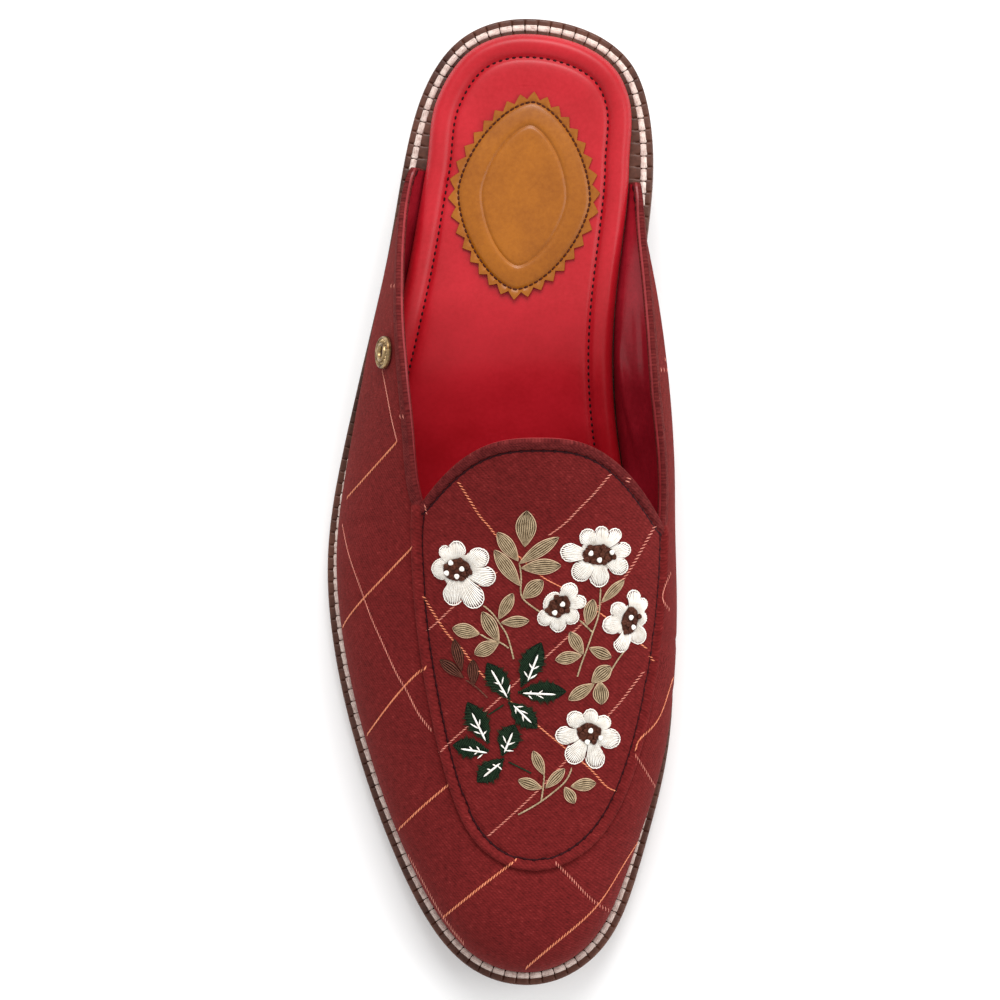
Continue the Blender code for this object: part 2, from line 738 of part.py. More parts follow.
def build_upper(last, finish):
    marks = chain_stations(last)
    run = marks["run"]
    points, faces, raised, on_floor = [], [], [], []

    def add(row, heights, floor_first):
        start = len(points)
        points.extend(row)
        raised.extend(heights)
        on_floor.extend([floor_first] + [False] * (len(row) - 1))
        return list(range(start, start + len(row)))

    def sew(rows):
        for a, b in zip(rows, rows[1:]):
            faces.extend((a[k], b[k], b[k + 1], a[k + 1]) for k in range(len(a) - 1))

    seam_raise = [0.0] * (WALL_STEPS + 1) + [SEAM_RAISE, SEAM_RAISE, 0.0]
    bound_raise = [0.0] * (WALL_STEPS + 1) + [BINDING_RAISE] * 3
    fronts = {}
    for side in ("lateral", "medial"):
        chains = [front_chain(last, run, where) for where in marks[side]]
        fronts[side] = chains
        rows = []
        for i, chain in enumerate(chains):
            heights = list(seam_raise)
            if i < 2:
                heights[-1] = BINDING_RAISE
            rows.append(add(chain, heights, True))
        sew(rows)
        notch = chains[0][-1]
        height = notch[2] - float(feather(notch[1]))
        rear = marks["rear_" + side]
        rows = []
        for where in rear[:-1]:
            back = 1 - (where - rear[0]) / (rear[-1] - rear[0])
            top = height * float(eased(column(COLLAR, "back"), column(COLLAR, "height"), back))
            rows.append(add(rear_chain(last, run, where, top), bound_raise, True))
        rows.append(add(chains[0], bound_raise, True))
        sew(rows)
    inner = {side: [chain[-1][:2] for chain in fronts[side]] for side in fronts}
    rows = []
    for i, row in enumerate(apron_rows(last, inner["lateral"], inner["medial"])):
        heights = [BINDING_RAISE if i < 2 else 0.0] * len(row)
        spots = [last.point(x, y) for x, y in row]
        spots[0], spots[-1] = fronts["lateral"][i][-1], fronts["medial"][i][-1]
        rows.append(add(spots, heights, False))
    sew(rows)
    shell = thicken(points, faces, raised, UPPER_WALL, on_floor)
    return mesh_object("upper", *shell, finish, crease=50)


# The patch on the footbed and the rivet on the quarter

def patch_oval(share, grow):
    """Point of the stitched oval, a little pointed at its ends, grown outwards by a length."""
    angle = 2 * math.pi * share
    c, s = math.cos(angle), math.sin(angle)
    reach = (abs(c) ** PATCH_SQUARENESS + abs(s) ** PATCH_SQUARENESS) ** (-1 / PATCH_SQUARENESS)
    plan = Vector((c * reach * (PATCH_WIDTH / 2 + grow), s * reach * (PATCH_LENGTH / 2 + grow)))
    plan.rotate(Matrix.Rotation(PATCH_TURN, 2))
    return plan + Vector((SPINE_OFFSET, float(y_of(PATCH_CENTRE))))


def build_patch(finish):
    """Domed oval with a pinked edge."""
    seat = HEEL_LIFT + FEATHER + FOOTBED_THICKNESS + GAP
    top = seat + PATCH_THICKNESS
    count = 2 * PATCH_TEETH
    levels = [
        (PATCH_MARGIN, TOOTH_DEPTH, seat),
        (PATCH_MARGIN, TOOTH_DEPTH, top - 0.3 * PATCH_THICKNESS),
        (-0.6 * MM, 0, top - 0.3 * PATCH_THICKNESS),
        (-4 * MM, 0, top),
    ]
    points, faces = [], []
    for margin, tooth, height in levels:
        for i in range(count):
            plan = patch_oval(i / count, margin + (tooth if i % 2 else 0))
            points.append((plan.x, plan.y, height))
    for level in range(len(levels) - 1):
        low, high = level * count, (level + 1) * count
        faces += [(low + i, low + (i + 1) % count, high + (i + 1) % count, high + i) for i in range(count)]
    faces.append(tuple(range(count))[::-1])
    faces.append(tuple(range(len(points) - count, len(points))))
    return mesh_object("heel_patch", points, faces, finish)


def build_rivet(last, finish):
    """Turned ring rivet, seated square on the lateral quarter."""
    y = float(y_of(RIVET_ALONG))
    marks = chain_stations(last)
    toe = int(np.argmin(last.foot[:, 1]))
    where = float(np.interp(-y, -last.foot[: toe + 1, 1], marks["run"][: toe + 1]))

    def spot(shift, rise):
        foot, wide = chain_start(last, marks["run"], where + shift)
        path = last.path(foot, wide, np.array([float(last.ridge(wide[1])), wide[1]]))
        length = first_crossing(rise - (path[:, 2] - feather(path[:, 1])), lengths(path))
        return Vector(at_length(path, [length])[0])

    rise = RIVET_RISE * INSTEP_HEIGHT
    seat = spot(0, rise)
    ahead = spot(RIVET_RADIUS, rise) - spot(-RIVET_RADIUS, rise)
    upward = spot(0, rise + RIVET_RADIUS) - spot(0, rise - RIVET_RADIUS)
    normal = ahead.cross(upward).normalized()
    if normal.x > 0:
        normal.negate()
    sag = RIVET_RADIUS**2 / (2 * BALL_WIDTH)
    profile = [
        (RIVET_HOLE, 0.0),
        (RIVET_RADIUS, 0.0),
        (RIVET_RADIUS, 0.35 * RIVET_HEIGHT),
        (0.92 * RIVET_RADIUS, 0.72 * RIVET_HEIGHT),
        (0.62 * RIVET_RADIUS, 0.72 * RIVET_HEIGHT),
        (0.52 * RIVET_RADIUS, RIVET_HEIGHT),
        (0.42 * RIVET_RADIUS, RIVET_HEIGHT),
        (RIVET_HOLE, 0.6 * RIVET_HEIGHT),
    ]
    segments = 28
    points = [
        (r * math.cos(2 * math.pi * k / segments), r * math.sin(2 * math.pi * k / segments), h)
        for k in range(segments)
        for r, h in profile
    ]
    faces = []
    size = len(profile)
    for k in range(segments):
        a, b = k * size, ((k + 1) % segments) * size
        faces += [(a + i, b + i, b + (i + 1) % size, a + (i + 1) % size) for i in range(size)]
    made = mesh_object("rivet", points, faces, finish, crease=30)
    made.matrix_world = Matrix.Translation(seat + normal * (GAP + sag)) @ normal.to_track_quat(
        "Z", "Y"
    ).to_matrix().to_4x4()
    return made


def clear_scene():
    for old in list(bpy.data.objects):
        bpy.data.objects.remove(old)


def main():
    clear_scene()
    leather_brown = material("sole_leather", (0.115, 0.045, 0.028), 0.5)
    stacked = material("stacked_leather", (0.135, 0.055, 0.03), 0.55)
    rubber = material("heel_rubber", (0.03, 0.022, 0.02), 0.7)
    welt_brown = material("welt_leather", (0.10, 0.04, 0.027), 0.45)
    red_leather = material("footbed_leather", (0.50, 0.018, 0.035), 0.4)
    tan_leather = material("patch_leather", (0.47, 0.19, 0.022), 0.45)
    cloth = material("upper_cloth", (0.19, 0.018, 0.022), 0.9)
    brass = material("aged_brass", (0.42, 0.34, 0.18), 0.35, metallic=1.0)
    last = Last()
    build_outsole(leather_brown)
    build_welt(welt_brown)
    build_heel(stacked, rubber)
    build_footbed(red_leather)
    build_upper(last, cloth)
    build_patch(tan_leather)
    build_rivet(last, brass)


main()
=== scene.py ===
"""Looks of the backless loafer mule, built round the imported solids.

Metres, +Z up. The toe points to -Y and the medial side is +X. Places given in pixels are
pixels of the photograph, and are carried onto the shoe along the camera's own rays.
"""

import math
from collections import namedtuple

import bpy
import numpy as np
from mathutils import Matrix, Vector
from mathutils.bvhtree import BVHTree


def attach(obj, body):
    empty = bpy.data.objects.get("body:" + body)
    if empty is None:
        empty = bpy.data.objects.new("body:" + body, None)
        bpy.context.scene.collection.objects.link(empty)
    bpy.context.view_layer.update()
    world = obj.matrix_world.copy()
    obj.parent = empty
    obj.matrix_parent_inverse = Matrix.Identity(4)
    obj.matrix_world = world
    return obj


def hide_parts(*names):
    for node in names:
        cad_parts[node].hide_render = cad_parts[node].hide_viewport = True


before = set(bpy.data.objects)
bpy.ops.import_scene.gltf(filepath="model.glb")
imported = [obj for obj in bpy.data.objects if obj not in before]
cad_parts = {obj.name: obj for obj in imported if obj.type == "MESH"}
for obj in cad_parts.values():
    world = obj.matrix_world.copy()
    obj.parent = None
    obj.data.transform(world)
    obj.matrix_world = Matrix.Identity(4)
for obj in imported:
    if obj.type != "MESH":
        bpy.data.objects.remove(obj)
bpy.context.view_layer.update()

MM = 0.001

# Camera of the photograph: straight above the pair, its picture a square of 1000 pixels
PICTURE = 1000
FOCAL = 4581.0  # in pixels
SENSOR = 36.0
EYE = Vector((0.0548, 0.0007, 1.3))
SHOE_PIXEL = (304, 498.5)  # middle of the shoe
PIXEL = EYE.z / FOCAL * 0.962  # size of a pixel at the height of the apron
APRON_HEIGHT = 45 * MM  # above the floor
WIDEST_HEIGHT = 28 * MM  # height of the upper's widest line, for rays that just miss it

# Driving dimensions of the sole, as in the solids
LENGTH = 270 * MM
BALL_WIDTH = 96 * MM
SPINE_OFFSET = 0.0756 * BALL_WIDTH
HEEL_LIFT = 19 * MM
TOE_SPRING = 8 * MM
OUTSOLE_THICKNESS = 4.5 * MM
WELT_THICKNESS = 3.2 * MM
WELT_LEDGE = 4.6 * MM
WELT_WIDTH = 14 * MM
STITCH_CHANNEL_DEPTH = 0.5 * MM
STITCH_CHANNEL_WIDTH = 1.7 * MM
STITCH_LINE = 2.6 * MM
MARK_REACH = 0.8 * MM  # how far the wheel's marks run in past the ledge
MARK_DEPTH = 0.42 * MM
MARK_WIDTH = 0.055  # share of a stitch
MARK_PUFF = 0.1 * MM  # rise of the leather between two marks
EDGE_ROUND = 0.7 * MM
GAP = 0.35 * MM
WELT_BASE = OUTSOLE_THICKNESS + GAP
FEATHER = WELT_BASE + WELT_THICKNESS + GAP

# Driving dimensions of the heel
HEEL_BREAST = 0.265
HEEL_TAPER = 1.6 * MM
BREAST_HOLLOW = 4 * MM
TOP_PIECE_THICKNESS = 5 * MM
HEEL_LIFTS = 3
# Edge of one leather lift: share of its height, and how far it sinks in, in millimetres
LIFT_EDGE = [(0.0, 0.16), (0.06, 0.0), (0.5, -0.05), (0.94, 0.0), (1.0, 0.16)]
LIFT_SHARE = 0.998  # keeps two lifts' rings apart

# Driving dimensions of the upper
INSTEP_HEIGHT = 57 * MM
UPPER_WALL = 1.9 * MM
TOE_ROUND = 27 * MM
SECTION_SQUARENESS = 2.2
APRON_HALF = 0.36
APRON_FRONT = 0.874
NOTCH_LATERAL = 0.501
NOTCH_MEDIAL = 0.528
THROAT_RISE = 17.4 * MM
THROAT_FULLNESS = 2.8
REAR_TIP_LATERAL = 0.155
REAR_TIP_MEDIAL = 0.170
SEAM_WIDTH = 2.3 * MM
SEAM_RAISE = 1.2 * MM
SEAM_GROOVE = 0.45 * MM
BINDING_WIDTH = 3.3 * MM
BINDING_RAISE = 0.5 * MM
BINDING_GROOVE = 0.25 * MM
THROAT_BINDING = 2.5 * MM
EDGE_BULGE = 0.6 * MM
EDGE_DRAWN = 0.7  # share of the bulge that the cloth is drawn back by

# Driving dimensions of the footbed, patch and rivet
FOOTBED_THICKNESS = 5.0 * MM
FOOTBED_RIM_WIDTH = 6.6 * MM
FOOTBED_RIM_RAISE = 0.9 * MM
FOOTBED_GROOVE_DEPTH = 0.7 * MM
FOOTBED_CLEARANCE = 0.12 * MM
FOOTBED_DISH = 0.5 * MM
FOOTBED_NARROWING = (0.5 * REAR_TIP_LATERAL, 0.985 * REAR_TIP_LATERAL)  # stations
PATCH_LENGTH = 52 * MM
PATCH_WIDTH = 36.5 * MM
PATCH_CENTRE = 0.184
PATCH_TURN = math.radians(-5.6)
PATCH_THICKNESS = 1.2 * MM
PATCH_SQUARENESS = 1.6
PATCH_TEETH = 34
PATCH_MARGIN = 1.0 * MM
TOOTH_DEPTH = 2.0 * MM
PATCH_LINE = 6.5 * MM  # plain pressed line, in from the stitched oval
RIVET_RADIUS = 4.5 * MM
RIVET_HEIGHT = 1.5 * MM
RIVET_HOLE = 1.5 * MM
RIVET_ALONG = 0.350
RIVET_RISE = 0.48
RIVET_BEADS = 22
BEAD_RADIUS = 0.085 * RIVET_RADIUS
BEAD_CIRCLE = 0.725 * RIVET_RADIUS
BEAD_RINGS = 4
BEAD_SIDES = 8
# Domed core, as shares of the hole's radius and of the ring's height, from its crown outwards
CORE_CROWN = 0.55
CORE_DOME = [(0.5, 0.5), (0.9, 0.34), (0.98, 0.05)]

WELT_STITCHES = 175
Stitch = namedtuple("Stitch", "pitch length half high lift")
# Pitch, length, half width, half height and rise above the ground, in millimetres
FOOTBED_STITCH = Stitch(1.9, 1.1, 0.34, 0.2, 0.06)
SEAM_STITCH = Stitch(2.6, 1.3, 0.4, 0.2, 0.03)
THROAT_STITCH = Stitch(3.0, 1.3, 0.4, 0.2, 0.03)
LINING_STITCH = Stitch(3.0, 1.9, 0.3, 0.16, 0.05)
PATCH_STITCH = Stitch(1.55, 1.3, 0.34, 0.2, 0.07)
SEAM_STITCH_INSET = 0.8 * MM
THROAT_STITCH_INSET = 0.4 * MM

# Embroidery, in pixels of the photograph where nothing else is said
LEAF_PITCH = 2.3
FEATHER_PITCH = 1.7
PETAL_THREADS = 110
PETAL_VALLEY = 0.56  # share of the petals' length that is filled between them
PETAL_INSET = (0.8, 1.3)  # how far even and odd threads stop short of a petal's edge
RIM_INSET = 0.75
RIM_SCALLOP = 0.3
RIM_WAVE = 2.4
STEM_PITCH = 3.2
STEM_STEP = 2.6
VEIN_STEP = 3.0
KNOT_AREA = 13
KNOT_SPREAD = 0.9
KNOT_KEEP_OUT = 3.6
# Where along a leaf its threads reach furthest, and how evenly they shorten from there
SOFT_SWELL = (0.85, 1.0)
GREEN_SWELL = (1.3, 0.95)

# Mesh fineness
OUTLINE_POINTS = 400
LOOP_POINTS = 6000
STATIONS = 170
MARK_SHARES = [0.0, 0.05, 0.11, 0.2, 0.38, 0.62, 0.8, 0.89, 0.95]
REAR_CHAINS = 60
FRONT_CHAINS = 110
WALL_STEPS = 32
SEAM_STEPS = 9
BINDING_STEPS = 6
APRON_STEPS = 28
PATH_POINTS = 300
TUCK_POINTS = 80
ARC_STEPS = 6

Outline = namedtuple("Outline", "along lateral medial")
# Half widths from the spine line, as shares of the ball width
OUTLINE = [
    Outline(0.0000, 0.000, 0.000),
    Outline(0.0154, 0.164, 0.199),
    Outline(0.0443, 0.248, 0.303),
    Outline(0.0854, 0.306, 0.353),
    Outline(0.1678, 0.361, 0.370),
    Outline(0.2600, 0.408, 0.342),
    Outline(0.3524, 0.471, 0.322),
    Outline(0.4455, 0.539, 0.341),
    Outline(0.5392, 0.586, 0.388),
    Outline(0.6437, 0.573, 0.424),
    Outline(0.7482, 0.509, 0.416),
    Outline(0.8523, 0.407, 0.350),
    Outline(0.9140, 0.325, 0.296),
    Outline(0.9550, 0.249, 0.237),
    Outline(0.9830, 0.163, 0.155),
    Outline(1.0000, 0.000, 0.000),
]

Tread = namedtuple("Tread", "along lift spring")
# Underside of the outsole, as shares of the heel lift and of the toe spring
TREAD = [
    Tread(0.00, 1.00, 0.00),
    Tread(0.29, 1.00, 0.00),
    Tread(0.35, 0.84, 0.00),
    Tread(0.41, 0.51, 0.00),
    Tread(0.48, 0.16, 0.00),
    Tread(0.54, 0.00, 0.00),
    Tread(0.74, 0.00, 0.00),
    Tread(0.80, 0.00, 0.07),
    Tread(0.87, 0.00, 0.27),
    Tread(0.94, 0.00, 0.62),
    Tread(1.00, 0.00, 1.00),
]

Section = namedtuple(
    "Section", "along crown ridge out_lateral out_medial rise_lateral rise_medial steep_lateral steep_medial"
)
SECTIONS = [
    Section(0.12, 1.16, 0.049, 0.012, 0.006, 0.05, 0.04, 1.1, 1.1),
    Section(0.20, 1.16, 0.049, 0.036, 0.026, 0.08, 0.06, 1.1, 1.0),
    Section(0.26, 1.14, 0.049, 0.041, 0.078, 0.12, 0.10, 1.13, 1.0),
    Section(0.33, 1.10, 0.049, 0.036, 0.128, 0.17, 0.185, 1.16, 1.05),
    Section(0.40, 1.06, 0.049, 0.026, 0.145, 0.20, 0.25, 1.2, 1.28),
    Section(0.47, 1.01, 0.049, 0.018, 0.131, 0.20, 0.28, 1.38, 1.8),
    Section(0.53, 0.94, 0.049, 0.014, 0.101, 0.19, 0.29, 1.6, 2.0),
    Section(0.60, 0.85, 0.049, 0.010, 0.075, 0.18, 0.25, 1.7, 2.0),
    Section(0.68, 0.75, 0.049, 0.008, 0.053, 0.16, 0.22, 1.8, 2.0),
    Section(0.76, 0.65, 0.046, 0.008, 0.039, 0.14, 0.20, 1.9, 2.0),
    Section(0.84, 0.56, 0.036, 0.008, 0.025, 0.13, 0.16, 2.0, 2.0),
    Section(0.92, 0.48, 0.020, 0.005, 0.012, 0.12, 0.13, 2.0, 2.0),
    Section(1.00, 0.40, 0.000, 0.002, 0.003, 0.11, 0.11, 2.0, 2.0),
]

Apron = namedtuple("Apron", "depth half")
APRON = [
    Apron(0.000, 1.000),
    Apron(0.120, 1.000),
    Apron(0.330, 0.960),
    Apron(0.550, 0.865),
    Apron(0.765, 0.708),
    Apron(0.860, 0.592),
    Apron(0.930, 0.447),
    Apron(0.975, 0.275),
    Apron(1.000, 0.000),
]

Collar = namedtuple("Collar", "back height")
COLLAR = [
    Collar(0.00, 1.00),
    Collar(0.20, 0.93),
    Collar(0.42, 0.78),
    Collar(0.62, 0.57),
    Collar(0.80, 0.32),
    Collar(0.92, 0.14),
    Collar(1.00, 0.05),
]

Crease = namedtuple("Crease", "x y angle length width depth")
# Soft troughs (and ridges, with a negative depth) by pixel, in pixels, degrees and millimetres
CREASES = [
    Crease(176, 520, 14, 46, 9, 0.45),
    Crease(170, 556, 8, 52, 8, -0.30),
    Crease(178, 600, 2, 50, 9, 0.40),
    Crease(196, 690, -18, 50, 9, 0.30),
    Crease(470, 640, 168, 34, 8, 0.35),
    Crease(462, 690, 160, 40, 9, 0.35),
    Crease(262, 800, -52, 44, 10, 0.30),
    Crease(418, 838, 60, 40, 10, 0.30),
    Crease(448, 340, 96, 60, 6, -0.50),
    Crease(452, 420, 74, 46, 6, 0.60),
    Crease(214, 330, 84, 60, 6, 0.35),
]
# Slack folds of the lining, standing into the shoe
LINING_FOLDS = [
    Crease(431, 378, 101, 84, 6, 0.6),
    Crease(438, 418, 105, 80, 5, 0.6),
    Crease(446, 330, 96, 50, 6, 0.4),
]

Flower = namedtuple("Flower", "x y wide high turn petals white")
Petal = namedtuple("Petal", "angle length width")
# Flowers by pixel: the knots' ellipse, then the petals by angle, reach and width, then white knots
FLOWERS = [
    Flower(
        261.4, 567.8, 15.3, 12.2, 0,
        [
            Petal(124, 28, 13), Petal(92, 28.8, 18), Petal(28, 35, 21), Petal(-14, 39.7, 20),
            Petal(-60, 43.9, 22), Petal(-98, 36.7, 21), Petal(178, 26, 22),
        ],
        [(255.8, 560.7), (266.8, 566.8), (251.7, 570.9), (261.8, 574.2)],
    ),
    Flower(
        362.2, 604.6, 14.7, 10.7, 35,
        [
            Petal(143, 15.5, 22), Petal(53.5, 27.8, 17), Petal(12, 28.7, 13.5), Petal(-38, 24.8, 17),
            Petal(-91, 26.3, 17), Petal(-138, 25.9, 16),
        ],
        [(366.3, 601.9), (358.7, 610.4)],
    ),
    Flower(
        402.1, 552.9, 17.6, 10.9, 0,
        [
            Petal(176, 38.2, 18.7), Petal(120, 29, 18), Petal(81, 29, 14.5), Petal(50, 32.7, 13.5),
            Petal(11, 33, 15.5), Petal(-29, 33, 18), Petal(-88, 32.9, 19.5), Petal(-135, 34.4, 20),
        ],
        [(393.9, 551), (402.4, 557.7), (414.5, 550.1)],
    ),
    Flower(
        433.2, 618.8, 15.2, 9.4, 80,
        [
            Petal(80, 31.3, 13.5), Petal(54.5, 26.9, 12.5), Petal(16, 17.7, 17), Petal(-62, 26, 18),
            Petal(-109, 33.7, 15), Petal(-166, 28, 18.5), Petal(137, 23.7, 17),
        ],
        [(433.2, 615.3), (435.4, 625.1)],
    ),
    Flower(
        392.8, 730.8, 12.5, 11, 0,
        [
            Petal(-173, 33.9, 18), Petal(136, 27.8, 17), Petal(84, 24.1, 15), Petal(34, 25.3, 15.5),
            Petal(-16, 32.4, 20), Petal(-76.5, 37.2, 19), Petal(-123, 36.5, 20),
        ],
        [(393.8, 728.3), (390.7, 739.5), (403.5, 735.4)],
    ),
]

Leaf = namedtuple("Leaf", "tip base width")
OLIVE_LEAVES = [
    Leaf((331, 508.7), (329, 545.6), 20),
    Leaf((301.4, 530.3), (322.7, 559.7), 14),
    Leaf((298.3, 548.1), (324.4, 584.6), 14),
    Leaf((363.1, 535.4), (322.7, 562.2), 12.5),
    Leaf((365.4, 563.9), (324.8, 566.4), 15),
    Leaf((347.2, 578.8), (326.5, 596.6), 15),
    Leaf((317.3, 591.6), (302.8, 617.8), 11.5),
    Leaf((333.5, 619), (304.9, 621.1), 10.5),
    Leaf((286.3, 609.9), (303.3, 640.6), 13.5),
    Leaf((256.4, 626.5), (284.2, 632.4), 14),
    Leaf((278.4, 652.5), (303.3, 640.6), 14),
    Leaf((427.9, 577.8), (405.1, 601), 9),
    Leaf((397.1, 597.4), (390.8, 623.8), 12.5),
    Leaf((373.8, 630), (387.1, 652.8), 12),
    Leaf((359.1, 658.4), (386.1, 653.3), 12),
    Leaf((415.2, 655.8), (392.8, 646.1), 11),
    Leaf((414.7, 664.5), (395.3, 680.8), 15),
    Leaf((372.3, 698.2), (398.4, 681.8), 12),
    Leaf((405.5, 702.8), (403.5, 679.3), 15),
    Leaf((337.1, 749.2), (348.4, 773.7), 10),
    Leaf((322.2, 778.5), (346.3, 786.9), 10.5),
    Leaf((368.8, 767), (349.4, 786.9), 10),
    Leaf((399.9, 781.3), (374.4, 784.9), 12),
    Leaf((378.6, 801.7), (368.6, 785.1), 10.5),
]
BROWN_LEAVES = [
    Leaf((257.9, 637.2), (266, 669.7), 12.5),
    Leaf((243.5, 658.3), (267.9, 676.4), 13),
    Leaf((277, 657.8), (277.5, 685), 12.5),
]
OLIVE_STEMS = [
    [(323.6, 562.2), (325.2, 579.6), (326.1, 595.4), (332.3, 602), (343.9, 610.3)],
    [(287.1, 603.7), (296.6, 612), (304.9, 623.6), (309.5, 630.5), (313.8, 642), (317.7, 657.3)],
    [(284.2, 632.4), (294.7, 638.2), (303.3, 640.6), (312.9, 646.8)],
    [
        (404.6, 586.3), (403.8, 598.8), (402.9, 610.4), (400.2, 621.1), (396.6, 630.9),
        (390.2, 649.2), (385.6, 661.4), (381.5, 674.7),
    ],
    [(383.7, 618.4), (396.6, 630.9)],
    [(429.5, 647.7), (419.8, 660.9), (414.7, 669.6), (408.6, 677.8), (398, 681)],
    [(375.9, 766), (370.8, 777.8), (360.6, 788), (346.3, 799.2), (322.2, 813.3)],
    [(348.4, 772.7), (347.3, 785.9), (345.3, 799.2)],
]
BROWN_STEMS = [[(269.8, 678.4), (279.4, 685), (291.4, 696.1)]]
GREEN_STEMS = [[(308.1, 703.2), (292.8, 713.3)], [(312.2, 760.2), (335.5, 771.8)]]

Veined = namedtuple("Veined", "leaf main sides")
GREEN_LEAVES = [
    Veined(
        Leaf((290.9, 661.1), (313.8, 698.4), 23),
        ((295.7, 668.3), (311.4, 695.6)),
        [
            ((307.6, 675), (306.2, 682.2)), ((298, 680.3), (305.7, 683.1)),
            ((314.3, 683.1), (311.9, 691.7)), ((303.3, 688.4), (309.5, 691.3)),
        ],
    ),
    Veined(
        Leaf((345.4, 640.6), (325.3, 685), 24),
        ((342.1, 653), (332, 678.8)),
        [
            ((333.4, 661.6), (336.3, 666.9)), ((344, 663.5), (336.8, 667.8)),
            ((328.2, 669.3), (332, 675.5)), ((341.1, 672.4), (333.4, 677.4)),
        ],
    ),
    Veined(
        Leaf((370.8, 690), (322.4, 690.8), 22),
        ((359.6, 692.6), (327.2, 691.3)),
        [
            ((335.8, 688.9), (333, 692.7)), ((346.8, 688.4), (340.6, 693.7)),
            ((336.3, 697), (332, 693.2)), ((347.8, 696.5), (341.6, 693.2)),
        ],
    ),
    Veined(
        Leaf((341.6, 727.1), (312.9, 700.4), 22),
        ((335.4, 720.9), (317.7, 703.7)),
        [
            ((327.7, 704.7), (320.5, 705.1)), ((332, 711.8), (324.4, 708.5)),
            ((320.1, 711.8), (319.6, 706.1)), ((327.7, 719.5), (326.3, 711.8)),
        ],
    ),
    Veined(
        Leaf((271.3, 700.4), (292.8, 741.5), 24),
        ((276.5, 711.4), (289.9, 739.1)),
        [
            ((284.2, 717.6), (283.7, 724.3)), ((274.6, 721.9), (283.2, 727.1)),
            ((290.9, 728.6), (287, 733.8)), ((278, 729.5), (285.6, 732.4)),
        ],
    ),
    Veined(
        Leaf((318.6, 722.8), (306.2, 753.9), 24),
        ((316.7, 731), (308.6, 750.6)),
        [
            ((307.1, 733.8), (310.5, 741.5)), ((319.1, 740.5), (311, 743.4)),
            ((304.3, 742), (309.1, 747.2)), ((317.7, 749.2), (309.5, 748.7)),
        ],
    ),
    Veined(
        Leaf((256.4, 743.9), (292.8, 749.2), 21),
        ((265.5, 747.2), (291.4, 751.1)),
        [
            ((273.7, 744.8), (277, 748.7)), ((280.8, 744.4), (284.2, 749.2)),
            ((278, 753), (281.8, 750.6)), ((281.8, 756.8), (287, 752.5)),
        ],
    ),
    Veined(
        Leaf((281, 781), (308, 757), 22),
        ((304.5, 761.5), (288, 775)),
        [
            ((296.6, 762.5), (300.4, 764.5)), ((291, 767), (296, 769)), ((306, 768), (302, 764)),
        ],
    ),
]

# Lines of the woven check by pixel: on the vamp, a heavy and a fine one, and on the apron
VAMP_HEAVY = [
    [(201, 440), (150, 497)],
    [(216, 546), (202.7, 560), (183.6, 580), (167.5, 597), (155, 612), (147, 625), (145, 631)],
    [(230.6, 666), (224, 670), (214, 679), (191, 706), (170, 735)],
    [(253, 783), (226, 806), (199, 832)],
    [(321, 858), (282, 888), (244, 919)],
    [(450, 828), (427, 864), (402, 903), (364, 938), (325, 971)],
    [(477, 676), (470.5, 697), (464.2, 713.7), (455, 727), (441.8, 741.3), (440, 748)],
]
VAMP_FINE = [
    [(186, 368), (191, 394), (196, 420), (201, 440)],
    [
        (146, 523), (154.5, 560), (160.6, 577), (166.7, 594), (176, 619), (183.6, 636),
        (193.5, 658), (204, 679), (209, 687), (222, 712), (236, 730),
    ],
    [(199, 832), (222, 872), (246, 914), (264, 938), (286, 961)],
    [(359, 861), (379, 881), (402, 903), (418, 911)],
    [(439, 753), (450, 770), (460.6, 788)],
    [(475, 571), (468, 588), (467, 598), (474, 609)],
]
APRON_RISING = [
    [(415, 472), (395, 495.5), (382, 508.5), (371.3, 519.7), (354, 533)],
    [(301, 570.5), (257.7, 605), (248.5, 613.6), (242, 620), (232, 628.5)],
    [
        (459.5, 524), (447.6, 544.7), (429.2, 575), (406, 601), (383, 625), (370, 637),
        (351.6, 654), (327, 675), (304, 696.5), (289, 710), (269, 727.6), (255.5, 739.6),
        (242.6, 752.5),
    ],
    [(448, 669.6), (440, 680), (428, 696), (412.7, 713.5), (376, 753), (339, 792), (292, 835)],
]
APRON_FALLING = [
    [
        (262, 480), (277.6, 505), (285, 516), (293, 525), (300, 534), (323, 555), (346.6, 575.5),
        (358, 582), (366, 586), (386, 600), (405.5, 612.6), (425, 628), (444, 642), (452, 648),
    ],
    [
        (227, 594.5), (235, 608), (242, 619), (253.5, 635), (268, 650), (272.7, 657), (288, 675.5),
        (291, 679), (317, 702), (343, 725), (356.5, 736.4), (385.6, 760), (399.4, 772.7),
        (413.7, 787), (422, 790),
    ],
    [(453.5, 654), (458, 660.5)],
]

Dash = namedtuple("Dash", "pitch length angle half")
# Floats of the check's yarns: pitch, length and half width in pixels, and angle in the picture,
# clockwise from its right
HEAVY_DASH = Dash(3.8, 5.6, 116, 0.9)
FINE_DASH = Dash(3.2, 4.6, 88, 0.6)
RISING_DASH = Dash(4.0, 5.1, 160, 0.7)
FALLING_DASH = Dash(3.7, 4.6, 22, 0.72)

Mark = namedtuple("Mark", "x y angle")
# Floats where the check's lines cross the bindings, by pixel
BINDING_MARKS = [
    Mark(195, 284, 95), Mark(198, 284, 95), Mark(201, 284, 95), Mark(204, 284, 95),
    Mark(204, 415, 80), Mark(207, 415, 80), Mark(210, 415, 80), Mark(449, 243, 90),
    Mark(465, 368.5, 85), Mark(468, 368.5, 85), Mark(471, 368.5, 85), Mark(469, 358, 85),
    Mark(432.7, 474, 20), Mark(433, 477, 20), Mark(431.8, 480, 20), Mark(312, 441, 90),
    Mark(229, 505, 60), Mark(229.5, 508, 60), Mark(230, 511, 60),
]


# Curves through tables

def column(table, name):
    return np.array([getattr(row, name) for row in table])


